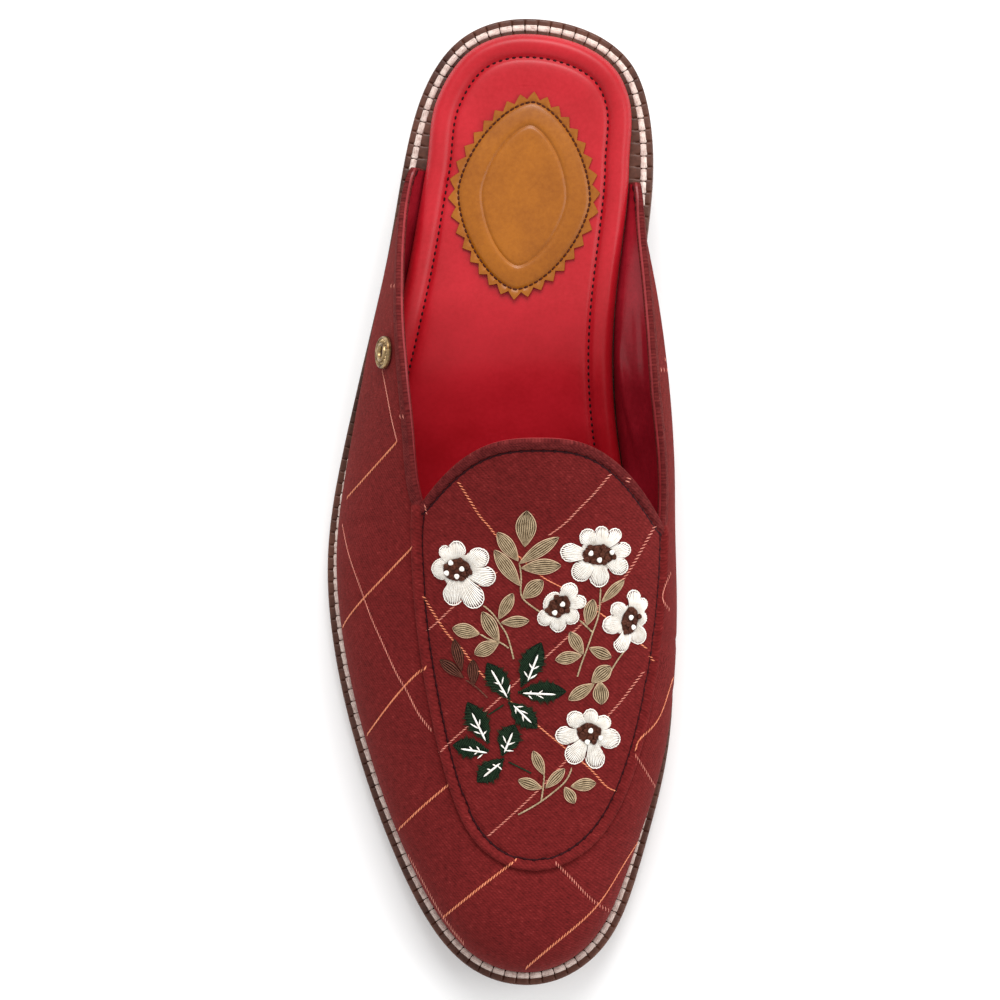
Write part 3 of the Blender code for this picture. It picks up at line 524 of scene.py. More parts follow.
def eased(xs, ys, x):
    """Cubic curve through the points that never overshoots them, so flats stay flat."""
    step = np.diff(xs)
    slope = np.diff(ys) / step
    tangent = np.concatenate([[slope[0]], np.zeros(len(xs) - 2), [slope[-1]]])
    for i in range(1, len(xs) - 1):
        if slope[i - 1] * slope[i] > 0:
            before = 2 * step[i] + step[i - 1]
            after = step[i] + 2 * step[i - 1]
            tangent[i] = (before + after) / (before / slope[i - 1] + after / slope[i])
    i = np.clip(np.searchsorted(xs, x, side="right") - 1, 0, len(xs) - 2)
    t = np.clip((x - xs[i]) / step[i], 0, 1)
    return (
        ys[i] * (1 + 2 * t) * (1 - t) ** 2
        + tangent[i] * step[i] * t * (1 - t) ** 2
        + ys[i + 1] * t**2 * (3 - 2 * t)
        - tangent[i + 1] * step[i] * t**2 * (1 - t)
    )


def spline(xs, ys, x):
    """Natural cubic spline through the points, with an even change of curvature."""
    count = len(xs)
    step = np.diff(xs)
    matrix = np.eye(count)
    right = np.zeros(count)
    for i in range(1, count - 1):
        matrix[i, i - 1 : i + 2] = step[i - 1], 2 * (step[i - 1] + step[i]), step[i]
        right[i] = 6 * ((ys[i + 1] - ys[i]) / step[i] - (ys[i] - ys[i - 1]) / step[i - 1])
    bend = np.linalg.solve(matrix, right)
    i = np.clip(np.searchsorted(xs, x, side="right") - 1, 0, count - 2)
    before, after = xs[i + 1] - x, x - xs[i]
    return (
        (bend[i] * before**3 + bend[i + 1] * after**3) / (6 * step[i])
        + (ys[i] / step[i] - bend[i] * step[i] / 6) * before
        + (ys[i + 1] / step[i] - bend[i + 1] * step[i] / 6) * after
    )


def turn(along):
    """Angle-like station in which a round end of an outline is a straight line."""
    return np.arccos(np.clip(1 - 2 * np.asarray(along, float), -1, 1)) / math.pi


def unturn(t):
    return (1 - np.cos(math.pi * np.asarray(t, float))) / 2


def along_of(y):
    return 0.5 - np.asarray(y, float) / LENGTH


def y_of(along):
    return LENGTH * (0.5 - np.asarray(along, float))


def unit(vectors):
    return vectors / np.linalg.norm(vectors, axis=-1, keepdims=True)


def lengths(path):
    steps = np.linalg.norm(np.diff(path, axis=0), axis=1)
    return np.concatenate([[0], np.cumsum(steps)])


def between(where, run, rows):
    """Rows of a table read at lengths along a run."""
    return np.column_stack([np.interp(where, run, rows[:, k]) for k in range(rows.shape[1])])


def at_length(path, where):
    return between(where, lengths(path), path)


def splined(points, where):
    """Natural spline through points, read at lengths along the straight lines between them."""
    run = lengths(points)
    return np.column_stack([spline(run, points[:, k], where) for k in range(points.shape[1])])


def smooth_path(points, step):
    """Even points along a natural spline through the given ones."""
    points = np.array(points, float)
    run = lengths(points)
    fine = np.linspace(0, run[-1], max(int(run[-1] / step), 2) + 1)
    if len(points) == 2:
        return at_length(points, fine)
    curve = splined(points, fine)
    return at_length(curve, np.linspace(0, lengths(curve)[-1], len(fine)))


# The sole's outline and side profile

def outline_half(side, count):
    """Points of the lateral or medial half of the outline, from the heel to the toe."""
    t = np.linspace(0, 1, count)
    half = spline(turn(column(OUTLINE, "along")), column(OUTLINE, side), t) * BALL_WIDTH
    sign = -1 if side == "lateral" else 1
    return np.column_stack([SPINE_OFFSET + sign * np.maximum(half, 0), y_of(unturn(t))])


def outline_loop():
    """The closed outline, counter-clockwise from the back of the heel, with its outward normals."""
    lateral = outline_half("lateral", OUTLINE_POINTS)
    medial = outline_half("medial", OUTLINE_POINTS)[::-1]
    loop = np.vstack([lateral, medial[1:-1]])
    ahead = np.roll(loop, -1, axis=0) - np.roll(loop, 1, axis=0)
    return loop, unit(np.column_stack([ahead[:, 1], -ahead[:, 0]]))


def moved_loop(inset):
    """The outline moved in by a length, or by a length for each station along the sole."""
    loop, normal = outline_loop()
    by = inset(along_of(loop[:, 1])) if callable(inset) else inset
    return loop - normal * np.reshape(by, (-1, 1))


def loop_halves(loop):
    """Lateral and medial halves of a closed loop, each ordered from the heel to the toe."""
    heel, toe = np.argmax(loop[:, 1]), np.argmin(loop[:, 1])
    turned = np.roll(loop, -heel, axis=0)
    toe = (toe - heel) % len(loop)
    return turned[: toe + 1], np.vstack([turned[toe:], turned[:1]])[::-1]


def x_on(half, y):
    return np.interp(-np.asarray(y, float), -half[:, 1], half[:, 0])


def tread(y):
    """Height of the outsole's underside."""
    along = along_of(y)
    stations = column(TREAD, "along")
    lift = eased(stations, column(TREAD, "lift"), along)
    spring = eased(stations, column(TREAD, "spring"), along)
    return HEEL_LIFT * lift + TOE_SPRING * spring


def feather(y):
    return tread(y) + FEATHER


def above(offset):
    return lambda y: tread(y) + offset


# Meshes

def mesh_object(name, points, faces, finishes, tags=None, uv=None, crease=50):
    """Smooth shaded object; tags gives every face its material, uv every point its place."""
    mesh = bpy.data.meshes.new(name)
    mesh.from_pydata([tuple(map(float, p)) for p in points], [], faces)
    for finish in finishes:
        mesh.materials.append(finish)
    if tags is not None:
        mesh.polygons.foreach_set("material_index", np.array(tags, np.int32))
    if uv is not None:
        corner = np.zeros(len(mesh.loops), np.int32)
        mesh.loops.foreach_get("vertex_index", corner)
        layer = mesh.uv_layers.new(name="cloth")
        layer.data.foreach_set("uv", np.array(uv, np.float32)[corner].ravel())
    mesh.shade_smooth()
    mesh.set_sharp_from_angle(angle=math.radians(crease))
    made = bpy.data.objects.new(name, mesh)
    bpy.context.scene.collection.objects.link(made)
    return made


def dressed(piece, slot, *nodes):
    """Puts a finished piece on the model's one body, in the place of the nodes it stands for."""
    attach(piece, "root")
    if nodes:
        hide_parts(*nodes)
    return piece


def ring(inset, height):
    """One level of a layer: stations paired left and right, height a function of y."""
    lateral, medial = loop_halves(moved_loop(inset))
    back, front = lateral[0, 1], lateral[-1, 1]
    ys = back + (front - back) * unturn(np.linspace(0, 1, STATIONS + 1))
    left = np.column_stack([x_on(lateral, ys), ys, height(ys)])
    right = np.column_stack([x_on(medial, ys), ys, height(ys)])
    return np.vstack([left, right[-2:0:-1]])


def band_faces(levels, count, base=0):
    """Faces between rings of points that follow each other."""
    faces = []
    for level in range(levels - 1):
        low, high = base + level * count, base + (level + 1) * count
        for i in range(count):
            after = (i + 1) % count
            faces.append((low + i, low + after, high + after, high + i))
    return faces


def closed_faces(levels, count, base=0):
    """The same, with a flat face over the first ring and over the last."""
    last = base + (levels - 1) * count
    caps = [tuple(range(base, base + count))[::-1], tuple(range(last, last + count))]
    return band_faces(levels, count, base) + caps


def upwards(count):
    return np.tile([0.0, 0.0, 1.0], (count, 1))


def strip_cap(base, count, flip):
    faces = []
    for i in range(STATIONS):
        across = [i, i + 1, (count - i - 1) % count, (count - i) % count]
        corners = [base + k for k in dict.fromkeys(across)]
        faces.append(tuple(corners[::-1] if flip else corners))
    return faces


def layer_mesh(levels):
    rings = [ring(inset, height) for inset, height in levels]
    count = len(rings[0])
    faces = band_faces(len(rings), count)
    faces += strip_cap(0, count, True) + strip_cap((len(rings) - 1) * count, count, False)
    return np.vstack(rings), faces


def round_edge(inset, height, radius, start, end, steps=4):
    """Quarter of a circle between two angles, as (inset, height) pairs about a centre."""
    angles = np.radians(np.linspace(start, end, steps + 1))
    return [(inset - radius * math.cos(a), height + radius * math.sin(a)) for a in angles]


def build_outsole(finish):
    profile = round_edge(EDGE_ROUND, EDGE_ROUND, EDGE_ROUND, -90, 0)
    profile += round_edge(EDGE_ROUND / 2, OUTSOLE_THICKNESS - EDGE_ROUND / 2, EDGE_ROUND / 2, 0, 90, 3)
    levels = [(inset, above(height)) for inset, height in profile]
    return dressed(mesh_object("sole", *layer_mesh(levels), [finish]), "sole_leather", "outsole")


def even_loop(inset, count):
    """Points evenly spaced along the outline moved in by a length, with the outward normals."""
    loop, normal = outline_loop()
    moved = np.vstack([loop - normal * inset, (loop - normal * inset)[:1]])
    run = lengths(moved)
    where = np.linspace(0, run[-1], count, endpoint=False)
    facing = np.vstack([normal, normal[:1]])
    return at_length(moved, where), unit(between(where, run, facing))


def wheel_shares():
    return np.concatenate([k + np.array(MARK_SHARES) for k in range(WELT_STITCHES)]) / WELT_STITCHES


def build_welt(finish):
    """Swept welt with the wheel's mark pressed across it between the stitches."""
    top = WELT_BASE + WELT_THICKNESS
    channel_out = STITCH_LINE - STITCH_CHANNEL_WIDTH / 2
    channel_in = STITCH_LINE + STITCH_CHANNEL_WIDTH / 2
    slope = STITCH_CHANNEL_DEPTH / 2
    bead = EDGE_ROUND / 2
    profile = [(WELT_WIDTH, WELT_BASE, 0)]
    profile += [(i, h, 0) for i, h in round_edge(bead, WELT_BASE + bead, bead, -90, 0, 2)]
    edge = round_edge(EDGE_ROUND, top - EDGE_ROUND, EDGE_ROUND, 0, 90)
    profile += [(i, h, k / (len(edge) - 1)) for k, (i, h) in enumerate(edge)]
    profile += [
        (0.5 * channel_out, top, 1),
        (channel_out, top, 1),
        (channel_out + slope, top - STITCH_CHANNEL_DEPTH, 1),
        (channel_in - slope, top - STITCH_CHANNEL_DEPTH, 1),
        (channel_in, top, 1),
        (WELT_LEDGE, top, 1),
        (WELT_LEDGE + MARK_REACH, top, 0),
        (WELT_WIDTH, top, 0),
    ]
    spot, facing = even_loop(STITCH_LINE, LOOP_POINTS)
    spot = spot + facing * STITCH_LINE
    shares = wheel_shares()
    pick = (shares * len(spot)).astype(int)
    loop, normal = spot[pick], facing[pick]
    from_mark = np.abs((shares * WELT_STITCHES + 0.5) % 1 - 0.5)
    pressed = MARK_DEPTH * np.exp(-((from_mark / MARK_WIDTH) ** 2)) - MARK_PUFF * np.sin(math.pi * from_mark)
    count = len(loop)
    rows = []
    for inset, height, mark in profile:
        plan = loop - normal * inset
        rows.append(np.column_stack([plan, tread(plan[:, 1]) + height - pressed * mark]))
    faces = band_faces(len(rows), count)
    last_row = (len(rows) - 1) * count
    faces += [(last_row + i, last_row + (i + 1) % count, (i + 1) % count, i) for i in range(count)]
    piece = mesh_object("welt_strip", np.vstack(rows), faces, [finish])
    return dressed(piece, "welt_leather", "welt")


def heel_ring(inset, height):
    """Heel-block outline: the sole's back, closed by a hollowed breast."""
    lateral, medial = loop_halves(moved_loop(inset))
    back = lateral[0, 1]
    breast = float(y_of(HEEL_BREAST)) + inset
    ys = back + (breast - back) * np.sin(np.linspace(0, math.pi / 2, 90)) ** 2
    left = np.column_stack([x_on(lateral, ys), ys])
    right = np.column_stack([x_on(medial, ys), ys])
    share = np.linspace(0, 1, 25)[1:-1]
    hollow = np.column_stack(
        [
            left[-1, 0] + (right[-1, 0] - left[-1, 0]) * share,
            breast + BREAST_HOLLOW * np.sin(math.pi * share),
        ]
    )
    plan = np.vstack([left, hollow, right[:0:-1]])
    return np.column_stack([plan, np.full(len(plan), height)])


def heel_mesh(levels):
    rings = [heel_ring(inset, height) for inset, height in levels]
    return np.vstack(rings), closed_faces(len(rings), len(rings[0]))


def build_heel(stack_finish, rubber_finish):
    foot = HEEL_TAPER + EDGE_ROUND
    bead = EDGE_ROUND / 2
    rubber = round_edge(foot + bead, bead, bead, -90, 0, 3)
    rubber += round_edge(foot + bead / 2, TOP_PIECE_THICKNESS - bead / 2, bead / 2, 0, 90, 2)
    piece = mesh_object("heel_rubber_piece", *heel_mesh(rubber), [rubber_finish])
    dressed(piece, "heel_rubber", "heel_top_piece")
    low, high = TOP_PIECE_THICKNESS + GAP, HEEL_LIFT - GAP
    lift = (high - low) / HEEL_LIFTS
    stack = []
    for k in range(HEEL_LIFTS):
        for share, sink in LIFT_EDGE:
            height = low + lift * (k + share * LIFT_SHARE)
            taper = (foot - EDGE_ROUND) * (high - height) / (high - low)
            stack.append((EDGE_ROUND + taper + sink * MM, height))
    piece = mesh_object("heel_leather_stack", *heel_mesh(stack), [stack_finish], crease=35)
    dressed(piece, "stacked_leather", "heel_stack")


def footbed_inset(along):
    """Close to the welt's ledge behind the upper's rear tips, and inside its wall in front."""
    lasted_inset = WELT_LEDGE + UPPER_WALL + FOOTBED_CLEARANCE
    start, end = FOOTBED_NARROWING
    share = np.clip((along - start) / (end - start), 0, 1)
    return WELT_LEDGE + (lasted_inset - WELT_LEDGE) * share**2 * (3 - 2 * share)


def further_in(length):
    return lambda along: footbed_inset(along) + length


def footbed_profile():
    """Inset and height of the rolled rim, groove and pad, as one smooth line."""
    rim, crest, groove = FOOTBED_RIM_WIDTH, FOOTBED_RIM_RAISE, FOOTBED_GROOVE_DEPTH
    edge = FEATHER + FOOTBED_THICKNESS
    marks = np.array(
        [
            (0.25 * rim, FEATHER),
            (0.06 * rim, FEATHER + 0.15 * FOOTBED_THICKNESS),
            (0.0, FEATHER + 0.5 * FOOTBED_THICKNESS),
            (0.08 * rim, edge - 0.1 * FOOTBED_THICKNESS),
            (0.28 * rim, edge + 0.8 * crest),
            (0.52 * rim, edge + crest),
            (0.78 * rim, edge + 0.5 * crest),
            (0.93 * rim, edge - 0.5 * groove),
            (rim, edge - groove),
            (1.07 * rim, edge - 0.55 * groove),
            (1.25 * rim, edge + 0.1 * groove),
            (1.6 * rim, edge + 0.25 * groove),
            (2.2 * rim, edge),
        ]
    )
    return splined(marks, np.linspace(0, lengths(marks)[-1], 46)).tolist()


def build_footbed(finish):
    rings = [ring(further_in(inset), above(height)) for inset, height in footbed_profile()]
    count = len(rings[0])
    points = [np.vstack(rings)]
    faces = band_faces(len(rings), count) + strip_cap(0, count, True)
    base = (len(rings) - 1) * count
    edge = rings[-1]
    size = len(points[0])
    share = np.linspace(0, 1, 13)[1:-1]
    rows = []
    for i in range(1, STATIONS):
        left, right = edge[i], edge[count - i]
        row = left + (right - left) * share[:, None]
        row[:, 2] -= FOOTBED_DISH * np.sin(math.pi * share) * math.sin(math.pi * i / STATIONS)
        points.append(row)
        middle = list(range(size, size + len(share)))
        size += len(share)
        rows.append([base + i] + middle + [base + count - i])
    for a, b in zip(rows, rows[1:]):
        faces += [(a[k], b[k], b[k + 1], a[k + 1]) for k in range(len(a) - 1)]
    faces += [(base, rows[0][k], rows[0][k + 1]) for k in range(len(rows[0]) - 1)]
    faces += [(base + STATIONS, rows[-1][k + 1], rows[-1][k]) for k in range(len(rows[0]) - 1)]
    piece = mesh_object("footbed_pad", np.vstack(points), faces, [finish])
    return dressed(piece, "footbed_leather", "footbed")


# The upper's surface

def section(name, y):
    return spline(column(SECTIONS, "along"), column(SECTIONS, name), along_of(y))


class Last:
    """Outer form of the upper: widest line, crown and ridge, and its height at a plan point."""

    def __init__(self):
        loop, normal = outline_loop()
        self.foot = loop - normal * WELT_LEDGE
        lateral = loop[:, 0] < SPINE_OFFSET
        sides = section("out_lateral", loop[:, 1]), section("out_medial", loop[:, 1])
        reach = np.where(lateral, *sides)
        off = np.abs(loop[:, 0] - SPINE_OFFSET) / (0.25 * BALL_WIDTH)
        blend = np.clip(1 - off, 0, 1) ** 2
        mean = (sides[0] + sides[1]) / 2
        self.widest = self.foot + normal * ((reach * (1 - blend) + mean * blend) * BALL_WIDTH)[:, None]
        self.halves = loop_halves(self.widest)
        self.toe = self.widest[:, 1].min()
        self.run = lengths(self.foot)

    def ridge(self, y):
        return SPINE_OFFSET + section("ridge", y) * BALL_WIDTH

    def rise(self, x, y):
        """Height of the widest point above the feather line, on the side of x."""
        share = np.clip(0.5 + (x - self.ridge(y)) / (0.4 * BALL_WIDTH), 0, 1)
        share = share**2 * (3 - 2 * share)
        lateral, medial = section("rise_lateral", y), section("rise_medial", y)
        return INSTEP_HEIGHT * (lateral * (1 - share) + medial * share)

    def crown(self, x, y):
        """Crown above the feather line, rounded down to the widest line at the toe."""
        low = self.rise(x, y)
        near = np.clip((y - self.toe) / TOE_ROUND, 0, 1)
        rounding = (1 - (1 - near) ** 2.4) ** (1 / 2.2)
        return low + (INSTEP_HEIGHT * section("crown", y) - low) * rounding

    def height(self, x, y):
        """Height above the feather line of the surface over a plan point."""
        ridge = self.ridge(y)
        medial = x > ridge
        reach = np.where(medial, x_on(self.halves[1], y) - ridge, ridge - x_on(self.halves[0], y))
        steep = np.where(medial, section("steep_medial", y), section("steep_lateral", y))
        off = np.clip(np.abs(x - ridge) / np.maximum(reach, 1e-6), 0, 1)
        arch = (1 - off**SECTION_SQUARENESS) ** (1 / steep)
        low = self.rise(x, y)
        return low + (self.crown(x, y) - low) * arch

    def points(self, plan):
        x, y = plan[:, 0], plan[:, 1]
        return np.column_stack([plan, feather(y) + self.height(x, y)])

    def start(self, where):
        """Plan points of the foot line and of the widest line at a length along the foot line."""
        return [between(where, self.run, line)[0] for line in (self.foot, self.widest)]

    def path(self, foot, wide, target):
        """Dense path on the surface: up the tuck from the feather line, then over to a plan point."""
        t = np.linspace(0, 1, TUCK_POINTS + 1)[:-1]
        rise = float(self.rise(wide[0], wide[1]))
        plan = foot + (wide - foot) * np.sin(t * math.pi / 2)[:, None]
        low = np.column_stack([plan, feather(plan[:, 1]) + rise * t])
        t = 1 - np.cos(np.linspace(0, 1, PATH_POINTS) * math.pi / 2)
        return np.vstack([low, self.points(wide + (target - wide) * t[:, None])])


def first_crossing(values, run):
    """Length along a path at which values first fall below zero."""
    below = np.nonzero(values < 0)[0]
    if not len(below):
        return run[-1]
    i = max(int(below[0]), 1)
    share = values[i - 1] / (values[i - 1] - values[i])
    return run[i - 1] + (run[i] - run[i - 1]) * min(max(share, 0), 1)


def apron_half(y):
    """Half width of the apron at y, closing in a round front."""
    notch = y_of((NOTCH_LATERAL + NOTCH_MEDIAL) / 2)
    depth = (notch - np.asarray(y, float)) / (notch - y_of(APRON_FRONT))
    half = spline(turn(column(APRON, "depth")), column(APRON, "half"), turn(np.clip(depth, 0, 1)))
    return np.where(depth >= 1, 0, half) * APRON_HALF * BALL_WIDTH


def hump(share):
    """Rounded cross-section of the raised seam."""
    return np.sqrt(np.maximum(1 - np.abs(2 * share - 1) ** 2.6, 0))


def binding(share):
    """Height of a binding from its bound edge, at 0, to its sewn edge, at 1."""
    return np.sqrt(np.maximum(1 - share**5, 0))


def chain_stations(last):
    """Length along the foot line at which every chain starts, by block of the upper."""
    foot, run = last.foot, last.run
    toe = int(np.argmin(foot[:, 1]))

    def where(along, medial):
        order = np.arange(toe, len(foot))[::-1] if medial else np.arange(0, toe + 1)
        return float(np.interp(-float(y_of(along)), -foot[order, 1], run[order]))

    tips = where(REAR_TIP_LATERAL, False), where(REAR_TIP_MEDIAL, True)
    notches = where(NOTCH_LATERAL, False), where(NOTCH_MEDIAL, True)
    bound = THROAT_BINDING * np.linspace(0, 1, BINDING_STEPS + 1)
    blocks = {}
    for side, tip, notch, sign in zip(("lateral", "medial"), tips, notches, (1, -1)):
        start = notch + sign * THROAT_BINDING
        front = start + (run[toe] - start) * np.linspace(0, 1, FRONT_CHAINS + 1)
        blocks[side] = np.concatenate([notch + sign * bound[:-1], front])
        blocks["rear_" + side] = np.linspace(tip, notch, REAR_CHAINS + 1)
    return blocks


def fan_target(last, wide):
    """Plan point on the ridge that a chain climbs towards: straight across, or fanned at the toe."""
    fan = float(y_of(0.72))
    reach = 0.05 * LENGTH
    y = wide[1]
    if y < fan:
        y = fan - reach * (1 - math.exp((y - fan) / reach))
    return np.array([float(last.ridge(y)), y])


Chain = namedtuple("Chain", "points cloth")


def laid_chain(path, marks):
    """Points of a chain, and their places on the cloth when it is unrolled outwards from the top."""
    points = at_length(path, marks)
    top = points[-1, :2]
    away = unit(points[0, :2] - top)
    return Chain(points, top + away * (marks[-1] - marks)[:, None])


def front_chain(last, where):
    """Chain from the feather line over the vamp and across the apron's raised seam."""
    foot, wide = last.start(where)
    path = last.path(foot, wide, fan_target(last, wide))
    length = lengths(path)
    inside = np.abs(path[:, 0] - last.ridge(path[:, 1])) - apron_half(path[:, 1])
    inside[:TUCK_POINTS] = BALL_WIDTH
    outer = first_crossing(inside, length)
    near_notch = math.exp(-((y_of(NOTCH_LATERAL) - path[-1, 1]) / (2 * BINDING_WIDTH)) ** 2)
    width = SEAM_WIDTH + (BINDING_WIDTH - SEAM_WIDTH) * near_notch
    seam = outer + width * np.linspace(0, 1, SEAM_STEPS + 1)[1:]
    return laid_chain(path, np.concatenate([np.linspace(0, outer, WALL_STEPS + 1), seam]))


def rear_chain(last, where, height):
    """Chain up the quarter's wall to its bound topline at a given height."""
    foot, wide = last.start(where)
    path = last.path(foot, wide, np.array([float(last.ridge(wide[1])), wide[1]]))
    length = lengths(path)
    top = first_crossing(height - (path[:, 2] - feather(path[:, 1])), length)
    bound = top - min(BINDING_WIDTH, 0.6 * top)
    seam = bound + (top - bound) * np.linspace(0, 1, SEAM_STEPS + 1)[1:]
    return laid_chain(path, np.concatenate([np.linspace(0, bound, WALL_STEPS + 1), seam]))


def throat_curve(lateral, medial, peak, count):
    """Plan points of the throat's arc from the lateral notch over the peak to the medial one."""
    angle = np.linspace(0, math.pi, 2 * count + 1)
    share = (1 - np.cos(angle)) / 2
    arc = 1 - np.abs(2 * share - 1) ** THROAT_FULLNESS
    x = lateral[0] + (medial[0] - lateral[0]) * share
    base = lateral[1] + (medial[1] - lateral[1]) * share
    return np.column_stack([x, base + (peak[1] - base) * arc])


def apron_rows(last, lateral, medial):
    """Rows of plan points across the apron between the inner edges of its seam."""
    ridge = float(last.ridge(y_of(NOTCH_LATERAL)))
    peak = np.array([ridge, float(y_of(NOTCH_LATERAL)) + THROAT_RISE])
    throat = throat_curve(lateral[0], medial[0], peak, APRON_STEPS)
    rows = [throat]
    along = np.gradient(throat, axis=0)
    inward = unit(np.column_stack([along[:, 1], -along[:, 0]]))
    side = np.abs(np.linspace(-1, 1, 2 * APRON_STEPS + 1))
    left = np.linspace(1, 0, 2 * APRON_STEPS + 1)
    for i in range(1, BINDING_STEPS + 1):
        row = throat + inward * THROAT_BINDING * i / BINDING_STEPS
        row += np.outer(side**2 * left, lateral[i] - row[0])
        row += np.outer(side**2 * (1 - left), medial[i] - row[-1])
        rows.append(row)
    middle = APRON_STEPS
    front = np.array([ridge, float(y_of(APRON_FRONT)) + 0.75 * APRON_HALF * BALL_WIDTH])
    top = rows[-1]
    v = (np.linspace(0, 1, APRON_STEPS + 1) ** 1.4)[:, None]
    start = lengths(top[: middle + 1])
    top_share = (start / start[-1])[:, None]
    for i in range(BINDING_STEPS + 1, len(lateral)):
        u = (i - BINDING_STEPS) / (len(lateral) - 1 - BINDING_STEPS)
        spine = top[middle] + (front - top[middle]) * u
        fade = min(u * 6, 1)
        share = top_share * (1 - fade) + v * fade
        row = []
        for seam, edge in ((lateral, top[: middle + 1]), (medial, top[: middle - 1 : -1])):
            line = (1 - share) * seam[i] + share * spine
            line += (1 - u) * (edge - ((1 - top_share) * seam[BINDING_STEPS] + top_share * top[middle]))
            row.append(line)
        rows.append(np.vstack([row[0], row[1][-2::-1]]))
    return rows


CLOTH, BOUND, LINING, PIPING = range(4)
# Finishes over a rolled edge, from the cloth's side to the lining's
EDGE_TAGS = [BOUND, BOUND, BOUND, PIPING, BOUND, BOUND]
BOUND_INSIDE = 4  # columns of the binding that show on the lining's side


class Surface:
    """Middle surface of the upper, collected block by block with what each point carries."""

    def __init__(self):
        self.points, self.cloth, self.raised, self.floor = [], [], [], []
        self.faces, self.tags, self.inside = [], [], []

    def add(self, points, cloth, raised, floor):
        start = len(self.points)
        self.points.extend(points)
        self.cloth.extend(cloth)
        self.raised.extend(raised)
        self.floor.extend([floor] + [False] * (len(points) - 1))
        return list(range(start, start + len(points)))

    def sew(self, rows, tag, inside=lambda i, k: LINING):
        """Faces between rows; tag and inside tell both sides' finishes by row and by column."""
        for i, (a, b) in enumerate(zip(rows, rows[1:])):
            for k in range(len(a) - 1):
                self.faces.append((a[k], b[k], b[k + 1], a[k + 1]))
                self.tags.append(tag(i, k))
                self.inside.append(inside(i, k))

    def merged(self):
        """Everything as arrays, with the points that blocks share made one."""
        points = np.array(self.points)
        keys = np.round(points / 4e-6).astype(np.int64)
        _, first, inverse = np.unique(keys, axis=0, return_index=True, return_inverse=True)
        inverse = inverse.ravel()
        faces, tags, inside = [], [], []
        for face, tag, hidden in zip(self.faces, self.tags, self.inside):
            corners = list(dict.fromkeys(int(inverse[k]) for k in face))
            if len(corners) > 2:
                faces.append(tuple(corners))
                tags.append(tag)
                inside.append(hidden)
        carried = [np.array(values)[first] for values in (self.cloth, self.raised, self.floor)]
        return points[first], *carried, faces, tags, inside


def inside_line(surface, rows):
    """Points and normals on the lining along the lower edge of a topline's binding."""
    below = SEAM_STEPS - BOUND_INSIDE + WALL_STEPS
    points = np.array(surface.points)
    line = np.array([points[row[below]] for row in rows])
    upward = line - np.array([points[row[below - 2]] for row in rows])
    facing = unit(np.cross(np.gradient(line, axis=0), upward))
    if (facing[:, 0] * (line[:, 0] - SPINE_OFFSET)).sum() > 0:
        facing = -facing
    return line + facing * UPPER_WALL, facing


def upper_surface(last):
    stations = chain_stations(last)
    surface = Surface()
    flat_seam, flat_bound = np.zeros((2, WALL_STEPS + 1))
    flat_seam[-1] = -SEAM_GROOVE
    flat_bound[-1] = -BINDING_GROOVE
    share = np.linspace(0, 1, SEAM_STEPS + 1)[1:]
    bound_raise = np.concatenate([flat_bound, BINDING_RAISE * binding(1 - share)])
    fronts, toplines = {}, {}
    for side in ("lateral", "medial"):
        chains = [front_chain(last, where) for where in stations[side]]
        fronts[side] = chains
        rows = []
        for i, chain in enumerate(chains):
            near = float(binding(i / BINDING_STEPS)) if i < BINDING_STEPS else 0.0
            ridge = np.maximum(SEAM_RAISE * hump(share), near * BINDING_RAISE)
            weight = max(0.0, 1 - i / BINDING_STEPS) ** 2
            raised = np.concatenate([flat_seam, ridge]) * (1 - weight) + bound_raise * weight
            raised[-1] = BINDING_RAISE * near
            rows.append(surface.add(chain.points, chain.cloth, raised, True))
        surface.sew(rows, lambda i, k: CLOTH)
        notch = chains[0].points[-1]
        height = notch[2] - float(feather(notch[1]))
        rear = stations["rear_" + side]
        rows = []
        for where in rear[:-1]:
            back = 1 - (where - rear[0]) / (rear[-1] - rear[0])
            top = height * float(eased(column(COLLAR, "back"), column(COLLAR, "height"), back))
            chain = rear_chain(last, where, top)
            rows.append(surface.add(chain.points, chain.cloth, bound_raise, True))
        rows.append(surface.add(chains[0].points, chains[0].cloth, bound_raise, True))
        surface.sew(
            rows,
            lambda i, k: BOUND if k >= WALL_STEPS else CLOTH,
            lambda i, k: BOUND if k >= WALL_STEPS + SEAM_STEPS - BOUND_INSIDE else LINING,
        )
        toplines[side] = inside_line(surface, rows)
    inner = {side: [chain.points[-1, :2] for chain in fronts[side]] for side in fronts}
    rows = []
    apron = apron_rows(last, inner["lateral"], inner["medial"])
    for i, row in enumerate(apron):
        spots = last.points(row)
        spots[0], spots[-1] = fronts["lateral"][i].points[-1], fronts["medial"][i].points[-1]
        reach = lengths(spots)
        edge = np.minimum(reach, reach[-1] - reach)
        bound = BINDING_RAISE * float(binding(i / BINDING_STEPS)) if i < BINDING_STEPS else 0.0
        groove = SEAM_GROOVE * np.exp(-(((edge - 0.9 * MM) / (0.5 * MM)) ** 2))
        groove[0] = groove[-1] = 0
        raised = bound - groove * (i > BINDING_STEPS)
        if i == BINDING_STEPS:
            raised = np.where(edge > 2 * MM, -BINDING_GROOVE, 0.0)
        rows.append(surface.add(spots, row, np.broadcast_to(raised, len(spots)), False))
    surface.sew(rows, lambda i, k: BOUND if i < BINDING_STEPS else CLOTH)
    edge = fronts["lateral"][BINDING_STEPS:] + fronts["medial"][-2 : BINDING_STEPS - 1 : -1]
    seams = {
        "apron": np.array([chain.points[-1] for chain in edge]),
        "throat": last.points(apron[BINDING_STEPS]),
    }
    return surface.merged(), seams, toplines


